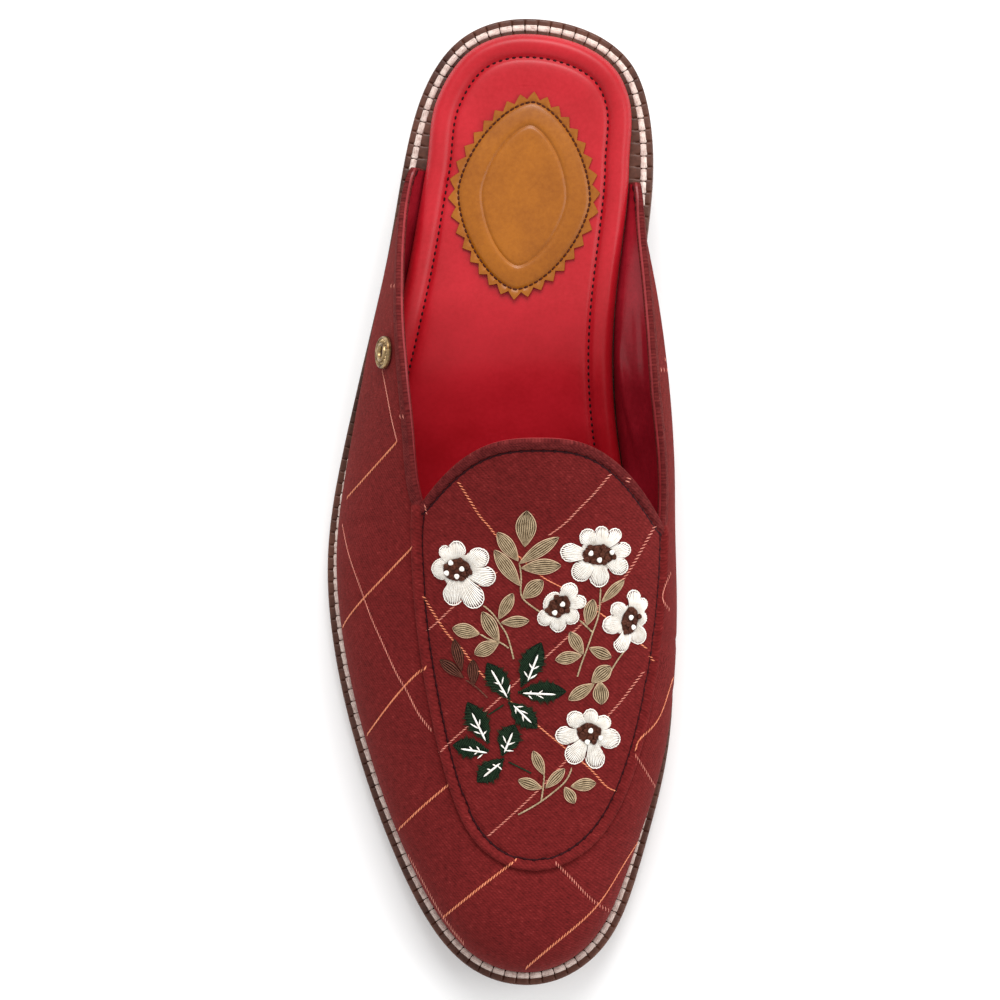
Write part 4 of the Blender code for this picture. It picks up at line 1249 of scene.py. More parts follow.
def vertex_normals(points, faces):
    """Area-weighted normals, outwards on the whole."""
    normal = np.zeros_like(points)
    for size in (3, 4):
        block = np.array([f for f in faces if len(f) == size])
        if not len(block):
            continue
        corner = points[block]
        facing = np.cross(corner[:, 2] - corner[:, 0], corner[:, -1] - corner[:, 1])
        for k in range(size):
            np.add.at(normal, block[:, k], facing)
    return unit(normal)


def crease_depths(points, creases):
    """Depth of the listed creases at every point."""
    depth = np.zeros(len(points))
    for crease in creases:
        ray = pixel_ray(crease.x, crease.y)
        centre = np.array(EYE) + np.array(ray) * (EYE.z - APRON_HEIGHT) / -ray[2]
        c, s = math.cos(math.radians(crease.angle)), math.sin(math.radians(crease.angle))
        x, y = points[:, 0] - centre[0], points[:, 1] - centre[1]
        scale = FOCAL / EYE.z
        along = (x * c + y * s) * scale / (0.5 * crease.length)
        off = (y * c - x * s) * scale / (0.5 * crease.width)
        depth += crease.depth * MM * np.exp(-(along**2) - off**2)
    return depth


def boundary_runs(faces):
    """Directed edges that only one face uses."""
    used = dict.fromkeys(edge for face in faces for edge in zip(face, face[1:] + face[:1]))
    return [(a, b) for a, b in used if (b, a) not in used]


def oriented(points, faces):
    """Faces all turned the same way, outwards on the whole."""
    beside = {}
    for index, face in enumerate(faces):
        for a, b in zip(face, face[1:] + face[:1]):
            beside.setdefault((min(a, b), max(a, b)), []).append((index, a < b))
    flip = {0: False}
    queue = [0]
    while queue:
        index = queue.pop()
        face = faces[index]
        for a, b in zip(face, face[1:] + face[:1]):
            for other, way in beside[(min(a, b), max(a, b))]:
                if other != index and other not in flip:
                    flip[other] = flip[index] ^ (way == (a < b))
                    queue.append(other)
    turned = [face[::-1] if flip.get(i, False) else face for i, face in enumerate(faces)]
    normal = vertex_normals(points, turned)
    if normal[:, 2].sum() < 0:
        turned = [face[::-1] for face in turned]
        normal = -normal
    return turned, normal


def build_upper(last, finishes):
    """Hollow upper: outer surface, lining one wall inside it, and rolled edges between them."""
    (points, cloth, raised, floor, faces, tags, inside), seams, toplines = upper_surface(last)
    faces, normal = oriented(points, faces)
    upright = normal.copy()
    upright[floor, 2] = 0
    normal = unit(upright)
    sunk = crease_depths(points, CREASES)
    sunk[floor] = 0
    folded = crease_depths(points, LINING_FOLDS)
    folded[floor] = 0
    runs = boundary_runs(faces)
    away = np.zeros_like(points)
    for a, b in runs:
        out = np.cross(points[b] - points[a], (normal[a] + normal[b]) / 2)
        away[a] += out
        away[b] += out
    on_edge = np.linalg.norm(away, axis=1) > 0
    away[on_edge] = unit(away[on_edge])
    bound_edge = on_edge & ~floor
    base = points - normal * sunk[:, None] - away * (EDGE_BULGE * EDGE_DRAWN * bound_edge)[:, None]
    outer = base + normal * raised[:, None]
    inner = base - normal * (UPPER_WALL + np.where(on_edge, 0, folded))[:, None]
    count = len(points)
    verts = [outer, inner]
    size = 2 * count
    shell = list(faces) + [tuple(k + count for k in reversed(face)) for face in faces]
    shell_tags = list(tags) + list(inside)
    arcs = {}
    angles = np.linspace(0, math.pi, ARC_STEPS + 1)[1:-1]
    for k in np.nonzero(on_edge)[0]:
        middle, half = (outer[k] + inner[k]) / 2, (outer[k] - inner[k]) / 2
        bulge = 0 if floor[k] else EDGE_BULGE
        arc = middle + np.outer(np.cos(angles), half) + np.outer(np.sin(angles), away[k] * bulge)
        verts.append(arc)
        arcs[int(k)] = [int(k)] + list(range(size, size + len(arc))) + [int(k) + count]
        size += len(arc)
    for a, b in runs:
        for step in range(ARC_STEPS):
            shell.append((arcs[b][step], arcs[a][step], arcs[a][step + 1], arcs[b][step + 1]))
            shell_tags.append(EDGE_TAGS[step])
    verts = np.vstack(verts)
    places = np.vstack([cloth, cloth] + [np.repeat(cloth[[k]], len(angles), axis=0) for k in arcs])
    piece = mesh_object("upper_shell", verts, shell, finishes, shell_tags, places, crease=60)
    dressed(piece, "upper_cloth", "upper")
    return BVHTree.FromPolygons([tuple(p) for p in outer], faces), seams, toplines


# Threads and stitches

def pixel_ray(px, py):
    return Vector(((px - PICTURE / 2) / FOCAL, (PICTURE / 2 - py) / FOCAL, -1)).normalized()


class Ground:
    """Surface that threads are laid on, found under pixels of the photograph."""

    def __init__(self, tree):
        self.tree = tree

    def under(self, pixels):
        spots, normals = [], []
        for px, py in pixels:
            ray = pixel_ray(px, py)
            spot, normal, _, _ = self.tree.ray_cast(EYE, ray)
            if spot is None:
                spot, normal, _, _ = self.tree.find_nearest(EYE + ray * (EYE.z - WIDEST_HEIGHT))
            spots.append(spot)
            normals.append(normal if normal.z > 0 else -normal)
        return np.array(spots), np.array(normals)

    def covers(self, pixels):
        """Whether the cloth lies under every one of the pixels."""
        rays = [pixel_ray(px, py) for px, py in pixels]
        return all(self.tree.ray_cast(EYE, ray)[0] is not None for ray in rays)

    def near(self, points):
        spots, normals = [], []
        for point in points:
            spot, normal, _, _ = self.tree.find_nearest(Vector(point))
            spots.append(spot)
            normals.append(normal)
        return np.array(spots), np.array(normals)


def thread_run(spots, normals, lift, half, high, blunt):
    """One thread: its line above the ground and its half width and height along it."""
    share = np.linspace(-1, 1, len(spots))
    taper = np.maximum(1 - np.abs(share) ** blunt, 0.06) ** 0.5
    return spots + normals * np.reshape(lift, (-1, 1)), normals, half * taper, high * taper


def tubes(name, runs, finish, sides=6):
    """Closed tubes in one mesh, each along its own line with its own half widths and heights."""
    verts, faces, strands = [], [], []
    size = 0
    angle = np.linspace(0, 2 * math.pi, sides, endpoint=False)
    for points, normals, wide, high in runs:
        round_share = np.tile(angle / (2 * math.pi), len(points))
        strands.append(np.column_stack([round_share, np.repeat(lengths(points) / MM, sides)]))
        along = unit(np.gradient(points, axis=0))
        across = unit(np.cross(normals, along))
        upward = np.cross(along, across)
        rings = (
            points[:, None]
            + across[:, None] * np.outer(wide, np.cos(angle))[:, :, None]
            + upward[:, None] * np.outer(high, np.sin(angle))[:, :, None]
        )
        verts.append(rings.reshape(-1, 3))
        faces += closed_faces(len(points), sides, size)
        size += len(points) * sides
    return mesh_object(name, np.vstack(verts), faces, [finish], uv=np.vstack(strands), crease=70)


def threads(make, ground, items, *rest):
    """Threads that a function makes for each of the items, in one list."""
    return [run for item in items for run in make(ground, item, *rest)]


def axes(angle):
    """Unit vectors along and left of an angle counted counter-clockwise in the picture."""
    along = np.array([math.cos(math.radians(angle)), -math.sin(math.radians(angle))])
    return along, np.array([along[1], -along[0]])


def lobe_reach(petal, angles):
    """How far a petal's rounded end reaches from the flower's middle, by angle in degrees."""
    half = petal.width / 2
    deep = min(0.5 * petal.length, 1.15 * half)
    middle = petal.length - deep
    off = np.radians(angles - petal.angle)
    c, s = np.cos(off), np.sin(off)
    a = c**2 / deep**2 + s**2 / half**2
    b = middle * c / deep**2
    inside = b**2 - a * (middle**2 / deep**2 - 1)
    reach = (b + np.sqrt(np.maximum(inside, 0))) / a
    return np.where((inside > 0) & (c > 0), reach, 0)


def flower_outline(flower, angles):
    """Reach of a flower's petals by angle, and the filled valleys between them."""
    lobes = np.array([lobe_reach(petal, angles) for petal in flower.petals]).max(axis=0)
    order = sorted(flower.petals, key=lambda petal: petal.angle % 360)
    turned = [petal.angle % 360 for petal in order]
    valley = PETAL_VALLEY * np.interp(angles, turned, [petal.length for petal in order], period=360)
    return lobes, valley


def middle_reach(flower, angles):
    """Radius by angle of the ellipse of knots in a flower's middle."""
    off = np.radians(angles - flower.turn)
    return 1 / np.sqrt((np.cos(off) / flower.wide) ** 2 + (np.sin(off) / flower.high) ** 2)


def petal_threads(ground, flower):
    """Satin threads fanning out all round a flower's middle to the edges of its petals."""
    angles = np.arange(PETAL_THREADS) * 360 / PETAL_THREADS
    lobes, valley = flower_outline(flower, angles)
    reach = np.maximum(lobes, valley)
    root = 0.8 * middle_reach(flower, angles)
    steps = np.linspace(0, 1, 8)
    runs = []
    for k, angle in enumerate(angles):
        end = reach[k] - PETAL_INSET[k % 2]
        radial = root[k] + (end - root[k]) * steps
        spots, normals = ground.under(np.array([flower.x, flower.y]) + radial[:, None] * axes(angle)[0])
        full = np.clip(lobes[k] / valley[k] - 1, 0, 0.5) / 0.5
        dome = (0.16 + (0.02 + 0.62 * full) * np.sin(math.pi * steps) ** 0.8 + 0.06 * (k % 2)) * MM
        half = 0.5 * 0.88 * radial * math.radians(360 / PETAL_THREADS) * PIXEL
        runs.append(thread_run(spots, normals, dome, half, 0.24 * MM, 14))
    return runs


def petal_rims(ground, flower):
    """Outline thread round the free edge of every petal."""
    runs = []
    for petal in flower.petals:
        angles = petal.angle + np.arange(-75, 76, 1.5)
        lobes, valley = flower_outline(flower, angles)
        own = lobe_reach(petal, angles)
        free = (own >= lobes) & (own > valley)
        if free.sum() < 5:
            continue
        angles, own = angles[free], own[free]
        scallop = RIM_SCALLOP * np.cos(np.radians(angles) * own / RIM_WAVE * 2 * math.pi)
        outward = np.array([axes(angle)[0] for angle in angles])
        rim = np.array([flower.x, flower.y]) + (own - RIM_INSET + scallop)[:, None] * outward
        spots, normals = ground.under(rim)
        runs.append(thread_run(spots, normals, 0.2 * MM, 0.6 * PIXEL, 0.2 * MM, 20))
    return runs


class Blade:
    """A leaf's axis in the picture, from its tip at 0 to its base at 1."""

    def __init__(self, leaf):
        self.tip = np.array(leaf.tip)
        self.size = float(np.linalg.norm(np.array(leaf.base) - self.tip))
        self.along = (np.array(leaf.base) - self.tip) / self.size
        self.across = np.array([self.along[1], -self.along[0]])
        self.half = leaf.width / 2

    def pixels(self, share, spread):
        share, spread = np.reshape(share, (-1, 1)), np.reshape(spread, (-1, 1))
        return self.tip + self.along * share * self.size + self.across * spread


def swell(share, early, full):
    """Width of a leaf by its length: pointed at both ends and widest past the tip."""
    return np.sin(math.pi * np.clip(share, 0, 1) ** early) ** full


def leaf_ground_and_shade(ground, leaf, grow):
    """Flat backing stitch that fills a leaf's shape under its threads; its dark colour is partly the leaf's
    own and partly painted shade in the gaps between the threads.
    """
    blade = Blade(leaf)
    share = np.linspace(0.01, 0.99, 15)
    spots, normals = ground.under(blade.pixels(share, np.zeros(len(share))))
    wide = np.maximum(grow * blade.half * swell(share, *SOFT_SWELL), 0.3) * PIXEL
    return [(spots + normals * 0.1 * MM, normals, wide, np.full(len(share), 0.12 * MM))]


def leaf_threads(ground, leaf):
    """Long threads from a leaf's tip to its base, spread over its width."""
    blade = Blade(leaf)
    count = max(int(leaf.width / LEAF_PITCH), 4)
    runs = []
    for k in range(count):
        t = (k + 0.5) / count * 2 - 1
        steps = np.linspace(0.05 * (k % 2) + 0.1 * abs(t), 1 - 0.06 * abs(t), 11)
        full = swell(steps, *SOFT_SWELL)
        spots, normals = ground.under(blade.pixels(steps, 0.88 * blade.half * t * full))
        dome = (0.26 + 0.2 * (1 - t * t) + 0.04 * (k % 2)) * MM
        half = 0.34 * LEAF_PITCH * PIXEL * np.maximum(full, 0.45)
        runs.append(thread_run(spots, normals, dome, half, 0.22 * MM, 10))
    return runs


def leaf_rims(ground, leaf):
    """Outline thread along both edges of a leaf."""
    blade = Blade(leaf)
    steps = np.linspace(0.01, 0.985, 13)
    edge = blade.half * swell(steps, *SOFT_SWELL)
    runs = []
    for side in (-1, 1):
        spots, normals = ground.under(blade.pixels(steps, side * edge))
        runs.append(thread_run(spots, normals, 0.24 * MM, 0.55 * PIXEL, 0.16 * MM, 12))
    return runs


def feather_threads(ground, leaf):
    """Oblique threads from the middle vein to a leaf's finely toothed edges."""
    blade = Blade(leaf)
    count = int(blade.size / FEATHER_PITCH)
    runs = []
    steps = np.linspace(0, 1, 5)
    for side in (-1, 1):
        for k in range(1, count + 1):
            share = k / count
            teeth = 1.08 + 0.3 * ((k % 4) / 3 - 0.5)
            reach = blade.half * float(swell(min(share, 0.97), *GREEN_SWELL)) * teeth
            swept = min(0.55 * reach, 0.85 * share * blade.size) / blade.size
            spots, normals = ground.under(blade.pixels(share - swept * steps, side * reach * steps))
            dome = (0.24 + 0.12 * np.sin(math.pi * steps) + 0.05 * (k % 2)) * MM
            runs.append(thread_run(spots, normals, dome, 0.4 * FEATHER_PITCH * PIXEL, 0.18 * MM, 10))
    return runs


def vein_threads(ground, veined):
    """One straight thread along a leaf's middle vein and one along each side vein."""
    veins = [(veined.main, 1.0, 0.2, 0.5)]
    veins += [(side, 0.85, 0.17, 0.48) for side in veined.sides]
    runs = []
    for line, half, high, lift in veins:
        spots, normals = ground.under(smooth_path(line, VEIN_STEP))
        runs.append(thread_run(spots, normals, lift * MM, half * PIXEL, high * MM, 12))
    return runs


def stem_threads(ground, line):
    """Stem stitch: short overlapping slanted threads along a line."""
    path = smooth_path(line, 0.5)
    run = lengths(path)
    along = unit(np.gradient(path, axis=0))
    runs = []
    for where in np.arange(0, run[-1], STEM_PITCH):
        reach = where + STEM_STEP * np.arange(3)
        middle = at_length(path, np.minimum(reach, run[-1]))
        facing = along[np.searchsorted(run, np.minimum(reach, run[-1] - 1e-6))]
        across = np.column_stack([facing[:, 1], -facing[:, 0]])
        pixels = middle + across * np.array([[-0.35], [0.0], [0.35]])
        if np.linalg.norm(pixels[-1] - pixels[0]) < 1:
            continue
        spots, normals = ground.under(pixels)
        runs.append(thread_run(spots, normals, 0.2 * MM, PIXEL, 0.22 * MM, 4))
    return runs


def floats(ground, places, dash):
    """Short floats of yarn at one angle of the weave; none where the cloth falls away under one."""
    runs = []
    for x, y, angle in places:
        direction = np.array([math.cos(math.radians(angle)), math.sin(math.radians(angle))])
        pixels = np.array([x, y]) + np.outer([-0.5, 0, 0.5], direction) * dash.length
        if not ground.covers(pixels):
            continue
        spots, normals = ground.under(pixels)
        if np.linalg.norm(np.diff(spots, axis=0), axis=1).max() < 1.6 * dash.length * PIXEL:
            lift = np.array([0.0, 0.1, 0.0]) * MM
            runs.append(thread_run(spots, normals, lift, dash.half * PIXEL, 0.13 * MM, 6))
    return runs


def check_dashes(ground, line, dash):
    """Floats of one line of the check, at an even pitch."""
    path = smooth_path(line, 0.4)
    where = np.arange(dash.pitch / 2, lengths(path)[-1], dash.pitch)
    return floats(ground, [(x, y, dash.angle) for x, y in at_length(path, where)], dash)


def knot_places(flower):
    """Even spread of knots over the flower's middle, leaving room for the white ones."""
    places = []
    count = round(flower.wide * flower.high / KNOT_AREA)
    along, across = axes(flower.turn)
    for k in range(count):
        reach = KNOT_SPREAD * math.sqrt((k + 0.5) / count)
        angle = k * math.pi * (3 - math.sqrt(5))
        spot = (
            np.array([flower.x, flower.y])
            + along * reach * math.cos(angle) * flower.wide
            + across * reach * math.sin(angle) * flower.high
        )
        if all(np.hypot(*(spot - np.array(w))) > KNOT_KEEP_OUT for w in flower.white):
            places.append(tuple(spot))
    return places


def build_knots(name, ground, places, finish, lift, size):
    """French knots: small rolled rings of thread with a dimple."""
    major, minor = 0.46 * size, 0.5 * size
    turns, sides = 12, 7
    shape = []
    for u in np.linspace(0, 2 * math.pi, turns, endpoint=False):
        thick = minor * (1 + 0.14 * math.sin(3 * u))
        for v in np.linspace(0, 2 * math.pi, sides, endpoint=False):
            reach = major + thick * math.cos(v)
            shape.append((reach * math.cos(u), reach * math.sin(u), 0.85 * thick * math.sin(v)))
    shape = np.array(shape)
    verts, faces = [], []
    spots, normals = ground.under(places)
    for k, (spot, normal) in enumerate(zip(spots, normals)):
        turned = Vector(normal).to_track_quat("Z", "Y").to_matrix() @ Matrix.Rotation(1.7 * k, 3, "Z")
        verts.append(shape @ np.array(turned).T + spot + normal * lift)
        base = k * len(shape)
        for i in range(turns):
            this, beyond = base + i * sides, base + (i + 1) % turns * sides
            for j in range(sides):
                after = (j + 1) % sides
                faces.append((this + j, beyond + j, beyond + after, this + after))
    return mesh_object(name, np.vstack(verts), faces, [finish], crease=80)


def middle_backing(ground, flower):
    """Dark ground under the knots, as one flat stitch over their ellipse."""
    along = axes(flower.turn)[0]
    share = np.linspace(-0.97, 0.97, 13)
    spots, normals = ground.under(np.array([flower.x, flower.y]) + np.outer(share * flower.wide, along))
    wide = flower.high * np.sqrt(1 - share**2) * PIXEL
    return [(spots + normals * 0.42 * MM, normals, wide, np.full(len(share), 0.16 * MM))]


def build_embroidery(ground, finishes):
    def stitched(name, runs, finish, sides=6):
        dressed(tubes(name, runs, finishes[finish], sides), "upper_cloth")

    olive = threads(leaf_threads, ground, OLIVE_LEAVES) + threads(stem_threads, ground, OLIVE_STEMS)
    brown = threads(leaf_threads, ground, BROWN_LEAVES) + threads(stem_threads, ground, BROWN_STEMS)
    # dark backing under the olive and brown leaves: their own dark colour and painted shade between the
    # threads
    stitched(
        "embroidered_leaf_grounds_and_shade", threads(leaf_ground_and_shade, ground, OLIVE_LEAVES + BROWN_LEAVES, 0.98), "earth",
    )
    stitched("embroidered_olive_leaves", olive, "olive")
    stitched("embroidered_brown_leaves", brown, "brown")
    stitched("embroidered_leaf_rims", threads(leaf_rims, ground, OLIVE_LEAVES), "beige")
    leaves = [row.leaf for row in GREEN_LEAVES]
    green = threads(feather_threads, ground, leaves) + threads(stem_threads, ground, GREEN_STEMS)
    # near-black backing under the green leaves: their own dark colour and painted shade between the threads
    stitched("embroidered_green_grounds_and_shade", threads(leaf_ground_and_shade, ground, leaves, 0.9), "night")
    stitched("embroidered_green_leaves", green, "green")
    stitched("embroidered_veins", threads(vein_threads, ground, GREEN_LEAVES), "white")
    petals = threads(petal_threads, ground, FLOWERS) + threads(petal_rims, ground, FLOWERS)
    stitched("embroidered_petals", petals, "white")
    stitched("embroidered_flower_grounds", threads(middle_backing, ground, FLOWERS), "umber", 10)
    dark = [spot for flower in FLOWERS for spot in knot_places(flower)]
    light = [spot for flower in FLOWERS for spot in flower.white]
    for name, places, finish, lift, size in (
        ("dark_knots", dark, "umber", 0.8 * MM, 0.86 * MM),
        ("white_knots", light, "white", 0.95 * MM, 0.8 * MM),
    ):
        dressed(build_knots(name, ground, places, finishes[finish], lift, size), "upper_cloth")


def build_check(ground, finishes):
    heavy = threads(check_dashes, ground, VAMP_HEAVY, HEAVY_DASH)
    falling = threads(check_dashes, ground, APRON_FALLING, FALLING_DASH)
    fine = threads(check_dashes, ground, VAMP_FINE, FINE_DASH)
    rising = threads(check_dashes, ground, APRON_RISING, RISING_DASH)
    marks = floats(ground, BINDING_MARKS, FINE_DASH)
    dressed(tubes("check_orange_yarn", heavy + falling, finishes["orange"], 5), "upper_cloth")
    dressed(tubes("check_pink_yarn", fine + rising + marks, finishes["pink"], 5), "upper_cloth")


def sewn(line, normals, stitch):
    """Separate stitches at an even pitch along a line."""
    pitch, length, half, high, lift = (size * MM for size in stitch)
    run = lengths(line)
    count = int(run[-1] / pitch)
    arch = lift + 0.3 * high * np.sin(np.linspace(0, math.pi, 5))
    runs = []
    for k in range(count):
        reach = (k + 0.5) * run[-1] / count + length / 2 * np.linspace(-1, 1, 5)
        facing = unit(between(reach, run, normals))
        runs.append(thread_run(at_length(line, reach), facing, arch, half, high, 3))
    return runs


def build_welt_stitches(finish):
    """Off-white barrel stitches lying in the welt's channel."""
    loop, _ = even_loop(STITCH_LINE, LOOP_POINTS)
    loop = np.vstack([loop, loop[:1]])
    floor = WELT_BASE + WELT_THICKNESS - STITCH_CHANNEL_DEPTH
    line = np.column_stack([loop, tread(loop[:, 1]) + floor])
    run = lengths(line)
    pitch = run[-1] / WELT_STITCHES
    shape = np.array([-0.46, -0.435, -0.36, 0.0, 0.36, 0.435, 0.46])
    fullness = np.array([0.5, 0.86, 0.98, 1.0, 0.98, 0.86, 0.5])
    runs = []
    for k in range(WELT_STITCHES):
        spots = at_length(line, (k + 0.5 + shape) * pitch)
        spots[:, 2] += 0.2 * MM + 0.08 * MM * fullness
        runs.append((spots, upwards(len(shape)), 0.98 * MM * fullness, 0.5 * MM * fullness))
    return dressed(tubes("welt_stitches", runs, finish, 14), "welt_leather")


def build_footbed_stitches(finish):
    edge = FEATHER + FOOTBED_THICKNESS - FOOTBED_GROOVE_DEPTH
    loop = moved_loop(further_in(FOOTBED_RIM_WIDTH))
    loop = np.vstack([loop, loop[:1]])
    line = np.column_stack([loop, tread(loop[:, 1]) + edge])
    runs = sewn(line, upwards(len(line)), FOOTBED_STITCH)
    return dressed(tubes("footbed_stitches", runs, finish), "footbed_leather")


def build_upper_stitches_and_groove_shade(ground, seams, toplines, last, finish):
    """Dark stitches inside the apron's seam, under the throat's binding and in the lining, and a continuous
    dark line under the apron's and throat's stitches that paints the shade of their groove.
    """
    runs = []
    for line, normals in toplines.values():
        runs += sewn(line, normals, LINING_STITCH)
    for line, inset, stitch in (
        (seams["apron"], -SEAM_STITCH_INSET, SEAM_STITCH),
        (seams["throat"], THROAT_STITCH_INSET, THROAT_STITCH),
    ):
        along = unit(np.gradient(line[:, :2], axis=0))
        inward = np.column_stack([along[:, 1], -along[:, 0]])
        spots, normals = ground.near(last.points(line[:, :2] + inward * inset))
        normals = np.where(normals[:, 2:] < 0, -normals, normals)
        # continuous dark thread along the seam line: painted shade of its groove, under the stitches
        runs.append((spots, normals, np.full(len(spots), 0.27 * MM), np.full(len(spots), 0.09 * MM)))
        runs += sewn(spots, normals, stitch)
    return dressed(tubes("upper_stitches_and_groove_shade", runs, finish), "upper_cloth")


# The patch on the footbed and the rivet on the quarter

def patch_oval(share, grow):
    """Point of the stitched oval, a little pointed at its ends, grown outwards by a length."""
    angle = 2 * math.pi * share
    c, s = math.cos(angle), math.sin(angle)
    reach = (abs(c) ** PATCH_SQUARENESS + abs(s) ** PATCH_SQUARENESS) ** (-1 / PATCH_SQUARENESS)
    plan = Vector((c * reach * (PATCH_WIDTH / 2 + grow), s * reach * (PATCH_LENGTH / 2 + grow)))
    plan.rotate(Matrix.Rotation(PATCH_TURN, 2))
    return plan + Vector((SPINE_OFFSET, float(y_of(PATCH_CENTRE))))


PATCH_SEAT = HEEL_LIFT + FEATHER + FOOTBED_THICKNESS + GAP
# Rings of the pinked edge: share of its reach, and height as a share of the thickness
PATCH_EDGE = [(1.0, 0.0), (1.0, 0.35), (0.96, 0.45), (0.6, 0.45), (0.3, 0.45)]
# Rings of the dome, in millimetres out from the stitched oval
PATCH_MARGINS = [
    0.25, 0.0, -0.25, -0.6, -1.2, -2.2, -3.4, -4.6, -5.6, -6.0, -6.25, -6.5, -6.75, -7.0, -7.6,
    -9, -11, -13.5, -16,
]


def patch_height(margin):
    """Height of the patch's top by distance from the stitched oval, outside it positive."""
    inside = np.clip(-margin / (5 * MM), 0, 1)
    dome = 0.45 + 0.55 * inside**0.7 * (1 if margin < 0 else 0)
    stitched = 0.3 * math.exp(-((margin / (0.5 * MM)) ** 2))
    pressed = 0.3 * math.exp(-(((margin + PATCH_LINE) / (0.45 * MM)) ** 2))
    return PATCH_SEAT + PATCH_THICKNESS * (dome - stitched - pressed)


def build_patch(finish, thread):
    """Domed oval with a pinked edge, a sewn line and a plain pressed line."""
    per_tooth = 8
    count = per_tooth * PATCH_TEETH
    phase = np.arange(count) % per_tooth / per_tooth
    edge = PATCH_MARGIN + TOOTH_DEPTH * (1 - np.abs(2 * phase - 1))
    rows = []
    for share, height in PATCH_EDGE:
        rows.append([(share * margin, PATCH_SEAT + PATCH_THICKNESS * height) for margin in edge])
    for margin in PATCH_MARGINS:
        rows.append([(margin * MM, patch_height(margin * MM))] * count)
    points = []
    for row in rows:
        for i, (margin, height) in enumerate(row):
            plan = patch_oval(i / count, margin)
            points.append((plan.x, plan.y, height))
    faces = closed_faces(len(rows), count)
    piece = mesh_object("patch_leather_oval", points, faces, [finish], crease=35)
    dressed(piece, "patch_leather", "heel_patch")
    plan = np.array([patch_oval(share, 0)[:] for share in np.linspace(0, 1, 400)])
    line = np.column_stack([plan, np.full(len(plan), patch_height(0.0))])
    runs = sewn(line, upwards(len(line)), PATCH_STITCH)
    dressed(tubes("patch_stitches", runs, thread), "patch_leather")


def rivet_seat(last):
    """Place and outward direction of the rivet on the lateral quarter."""
    y = float(y_of(RIVET_ALONG))
    toe = int(np.argmin(last.foot[:, 1]))
    where = float(np.interp(-y, -last.foot[: toe + 1, 1], last.run[: toe + 1]))

    def spot(shift, rise):
        foot, wide = last.start(where + shift)
        path = last.path(foot, wide, np.array([float(last.ridge(wide[1])), wide[1]]))
        length = first_crossing(rise - (path[:, 2] - feather(path[:, 1])), lengths(path))
        return Vector(at_length(path, [length])[0])

    rise = RIVET_RISE * INSTEP_HEIGHT
    ahead = spot(RIVET_RADIUS, rise) - spot(-RIVET_RADIUS, rise)
    upward = spot(0, rise + RIVET_RADIUS) - spot(0, rise - RIVET_RADIUS)
    normal = ahead.cross(upward).normalized()
    if normal.x > 0:
        normal.negate()
    sag = RIVET_RADIUS**2 / (2 * BALL_WIDTH)
    place = Matrix.Translation(spot(0, rise) + normal * (GAP + sag))
    return place @ normal.to_track_quat("Z", "Y").to_matrix().to_4x4()


def rivet_profile():
    """Radius and height of the ring: rim, beaded band, collar and hole."""
    shares = [
        (1.0, 0.0), (1.0, 0.35), (0.985, 0.62), (0.94, 0.80), (0.88, 0.80), (0.83, 0.62), (0.62, 0.62),
        (0.58, 0.92), (0.52, 1.0), (0.44, 1.0), (0.38, 0.85),
    ]
    ring = [(radius * RIVET_RADIUS, height * RIVET_HEIGHT) for radius, height in shares]
    return [(RIVET_HOLE, 0.0)] + ring + [(RIVET_HOLE, 0.4 * RIVET_HEIGHT)]


def rivet_bead(turn_by):
    """Rings of points of one round bead on the ring's band."""
    centre = np.array([math.cos(turn_by), math.sin(turn_by)]) * BEAD_CIRCLE
    points = []
    for lift in math.pi / 2 * np.arange(BEAD_RINGS) / BEAD_RINGS:
        reach = BEAD_RADIUS * math.cos(lift)
        height = 0.6 * RIVET_HEIGHT + BEAD_RADIUS * math.sin(lift)
        for angle in 2 * math.pi * np.arange(BEAD_SIDES) / BEAD_SIDES:
            spot = centre + reach * np.array([math.cos(angle), math.sin(angle)])
            points.append((spot[0], spot[1], height))
    return points


def build_rivet(last, finish, core_finish):
    """Turned ring with a beaded band, and a recessed core."""
    place = rivet_seat(last)
    segments = 64
    angles = np.linspace(0, 2 * math.pi, segments, endpoint=False)
    profile = rivet_profile()
    points = [(r * math.cos(a), r * math.sin(a), h) for a in angles for r, h in profile]
    size = len(profile)
    faces = []
    for k in range(segments):
        a, b = k * size, ((k + 1) % segments) * size
        faces += [(a + i, b + i, b + (i + 1) % size, a + (i + 1) % size) for i in range(size)]
    for k in range(RIVET_BEADS):
        faces += closed_faces(BEAD_RINGS, BEAD_SIDES, len(points))
        points += rivet_bead(2 * math.pi * k / RIVET_BEADS)
    turned = [tuple(place @ Vector(p)) for p in points]
    dressed(mesh_object("rivet_ring", turned, faces, [finish], crease=38), "aged_brass", "rivet")
    points = []
    for radius, height in CORE_DOME:
        ring_points = [(math.cos(a) * radius, math.sin(a) * radius) for a in angles[::2]]
        points += [(RIVET_HOLE * x, RIVET_HOLE * y, height * RIVET_HEIGHT) for x, y in ring_points]
    count = segments // 2
    last_ring = len(points) - count
    faces = band_faces(len(CORE_DOME), count)
    faces += [(k, (k + 1) % count, len(points)) for k in range(count)]
    faces.append(tuple(range(last_ring, len(points))))
    points.append((0, 0, CORE_CROWN * RIVET_HEIGHT))
    turned = [tuple(place @ Vector(p)) for p in points]
    dressed(mesh_object("rivet_core", turned, faces, [core_finish]), "aged_brass")


# Materials

def srgb(red, green, blue):
    """Linear colour of a colour that is given from 0 to 255."""
    levels = [c / 255 for c in (red, green, blue)]
    return tuple(c / 12.92 if c <= 0.04045 else ((c + 0.055) / 1.055) ** 2.4 for c in levels) + (1.0,)


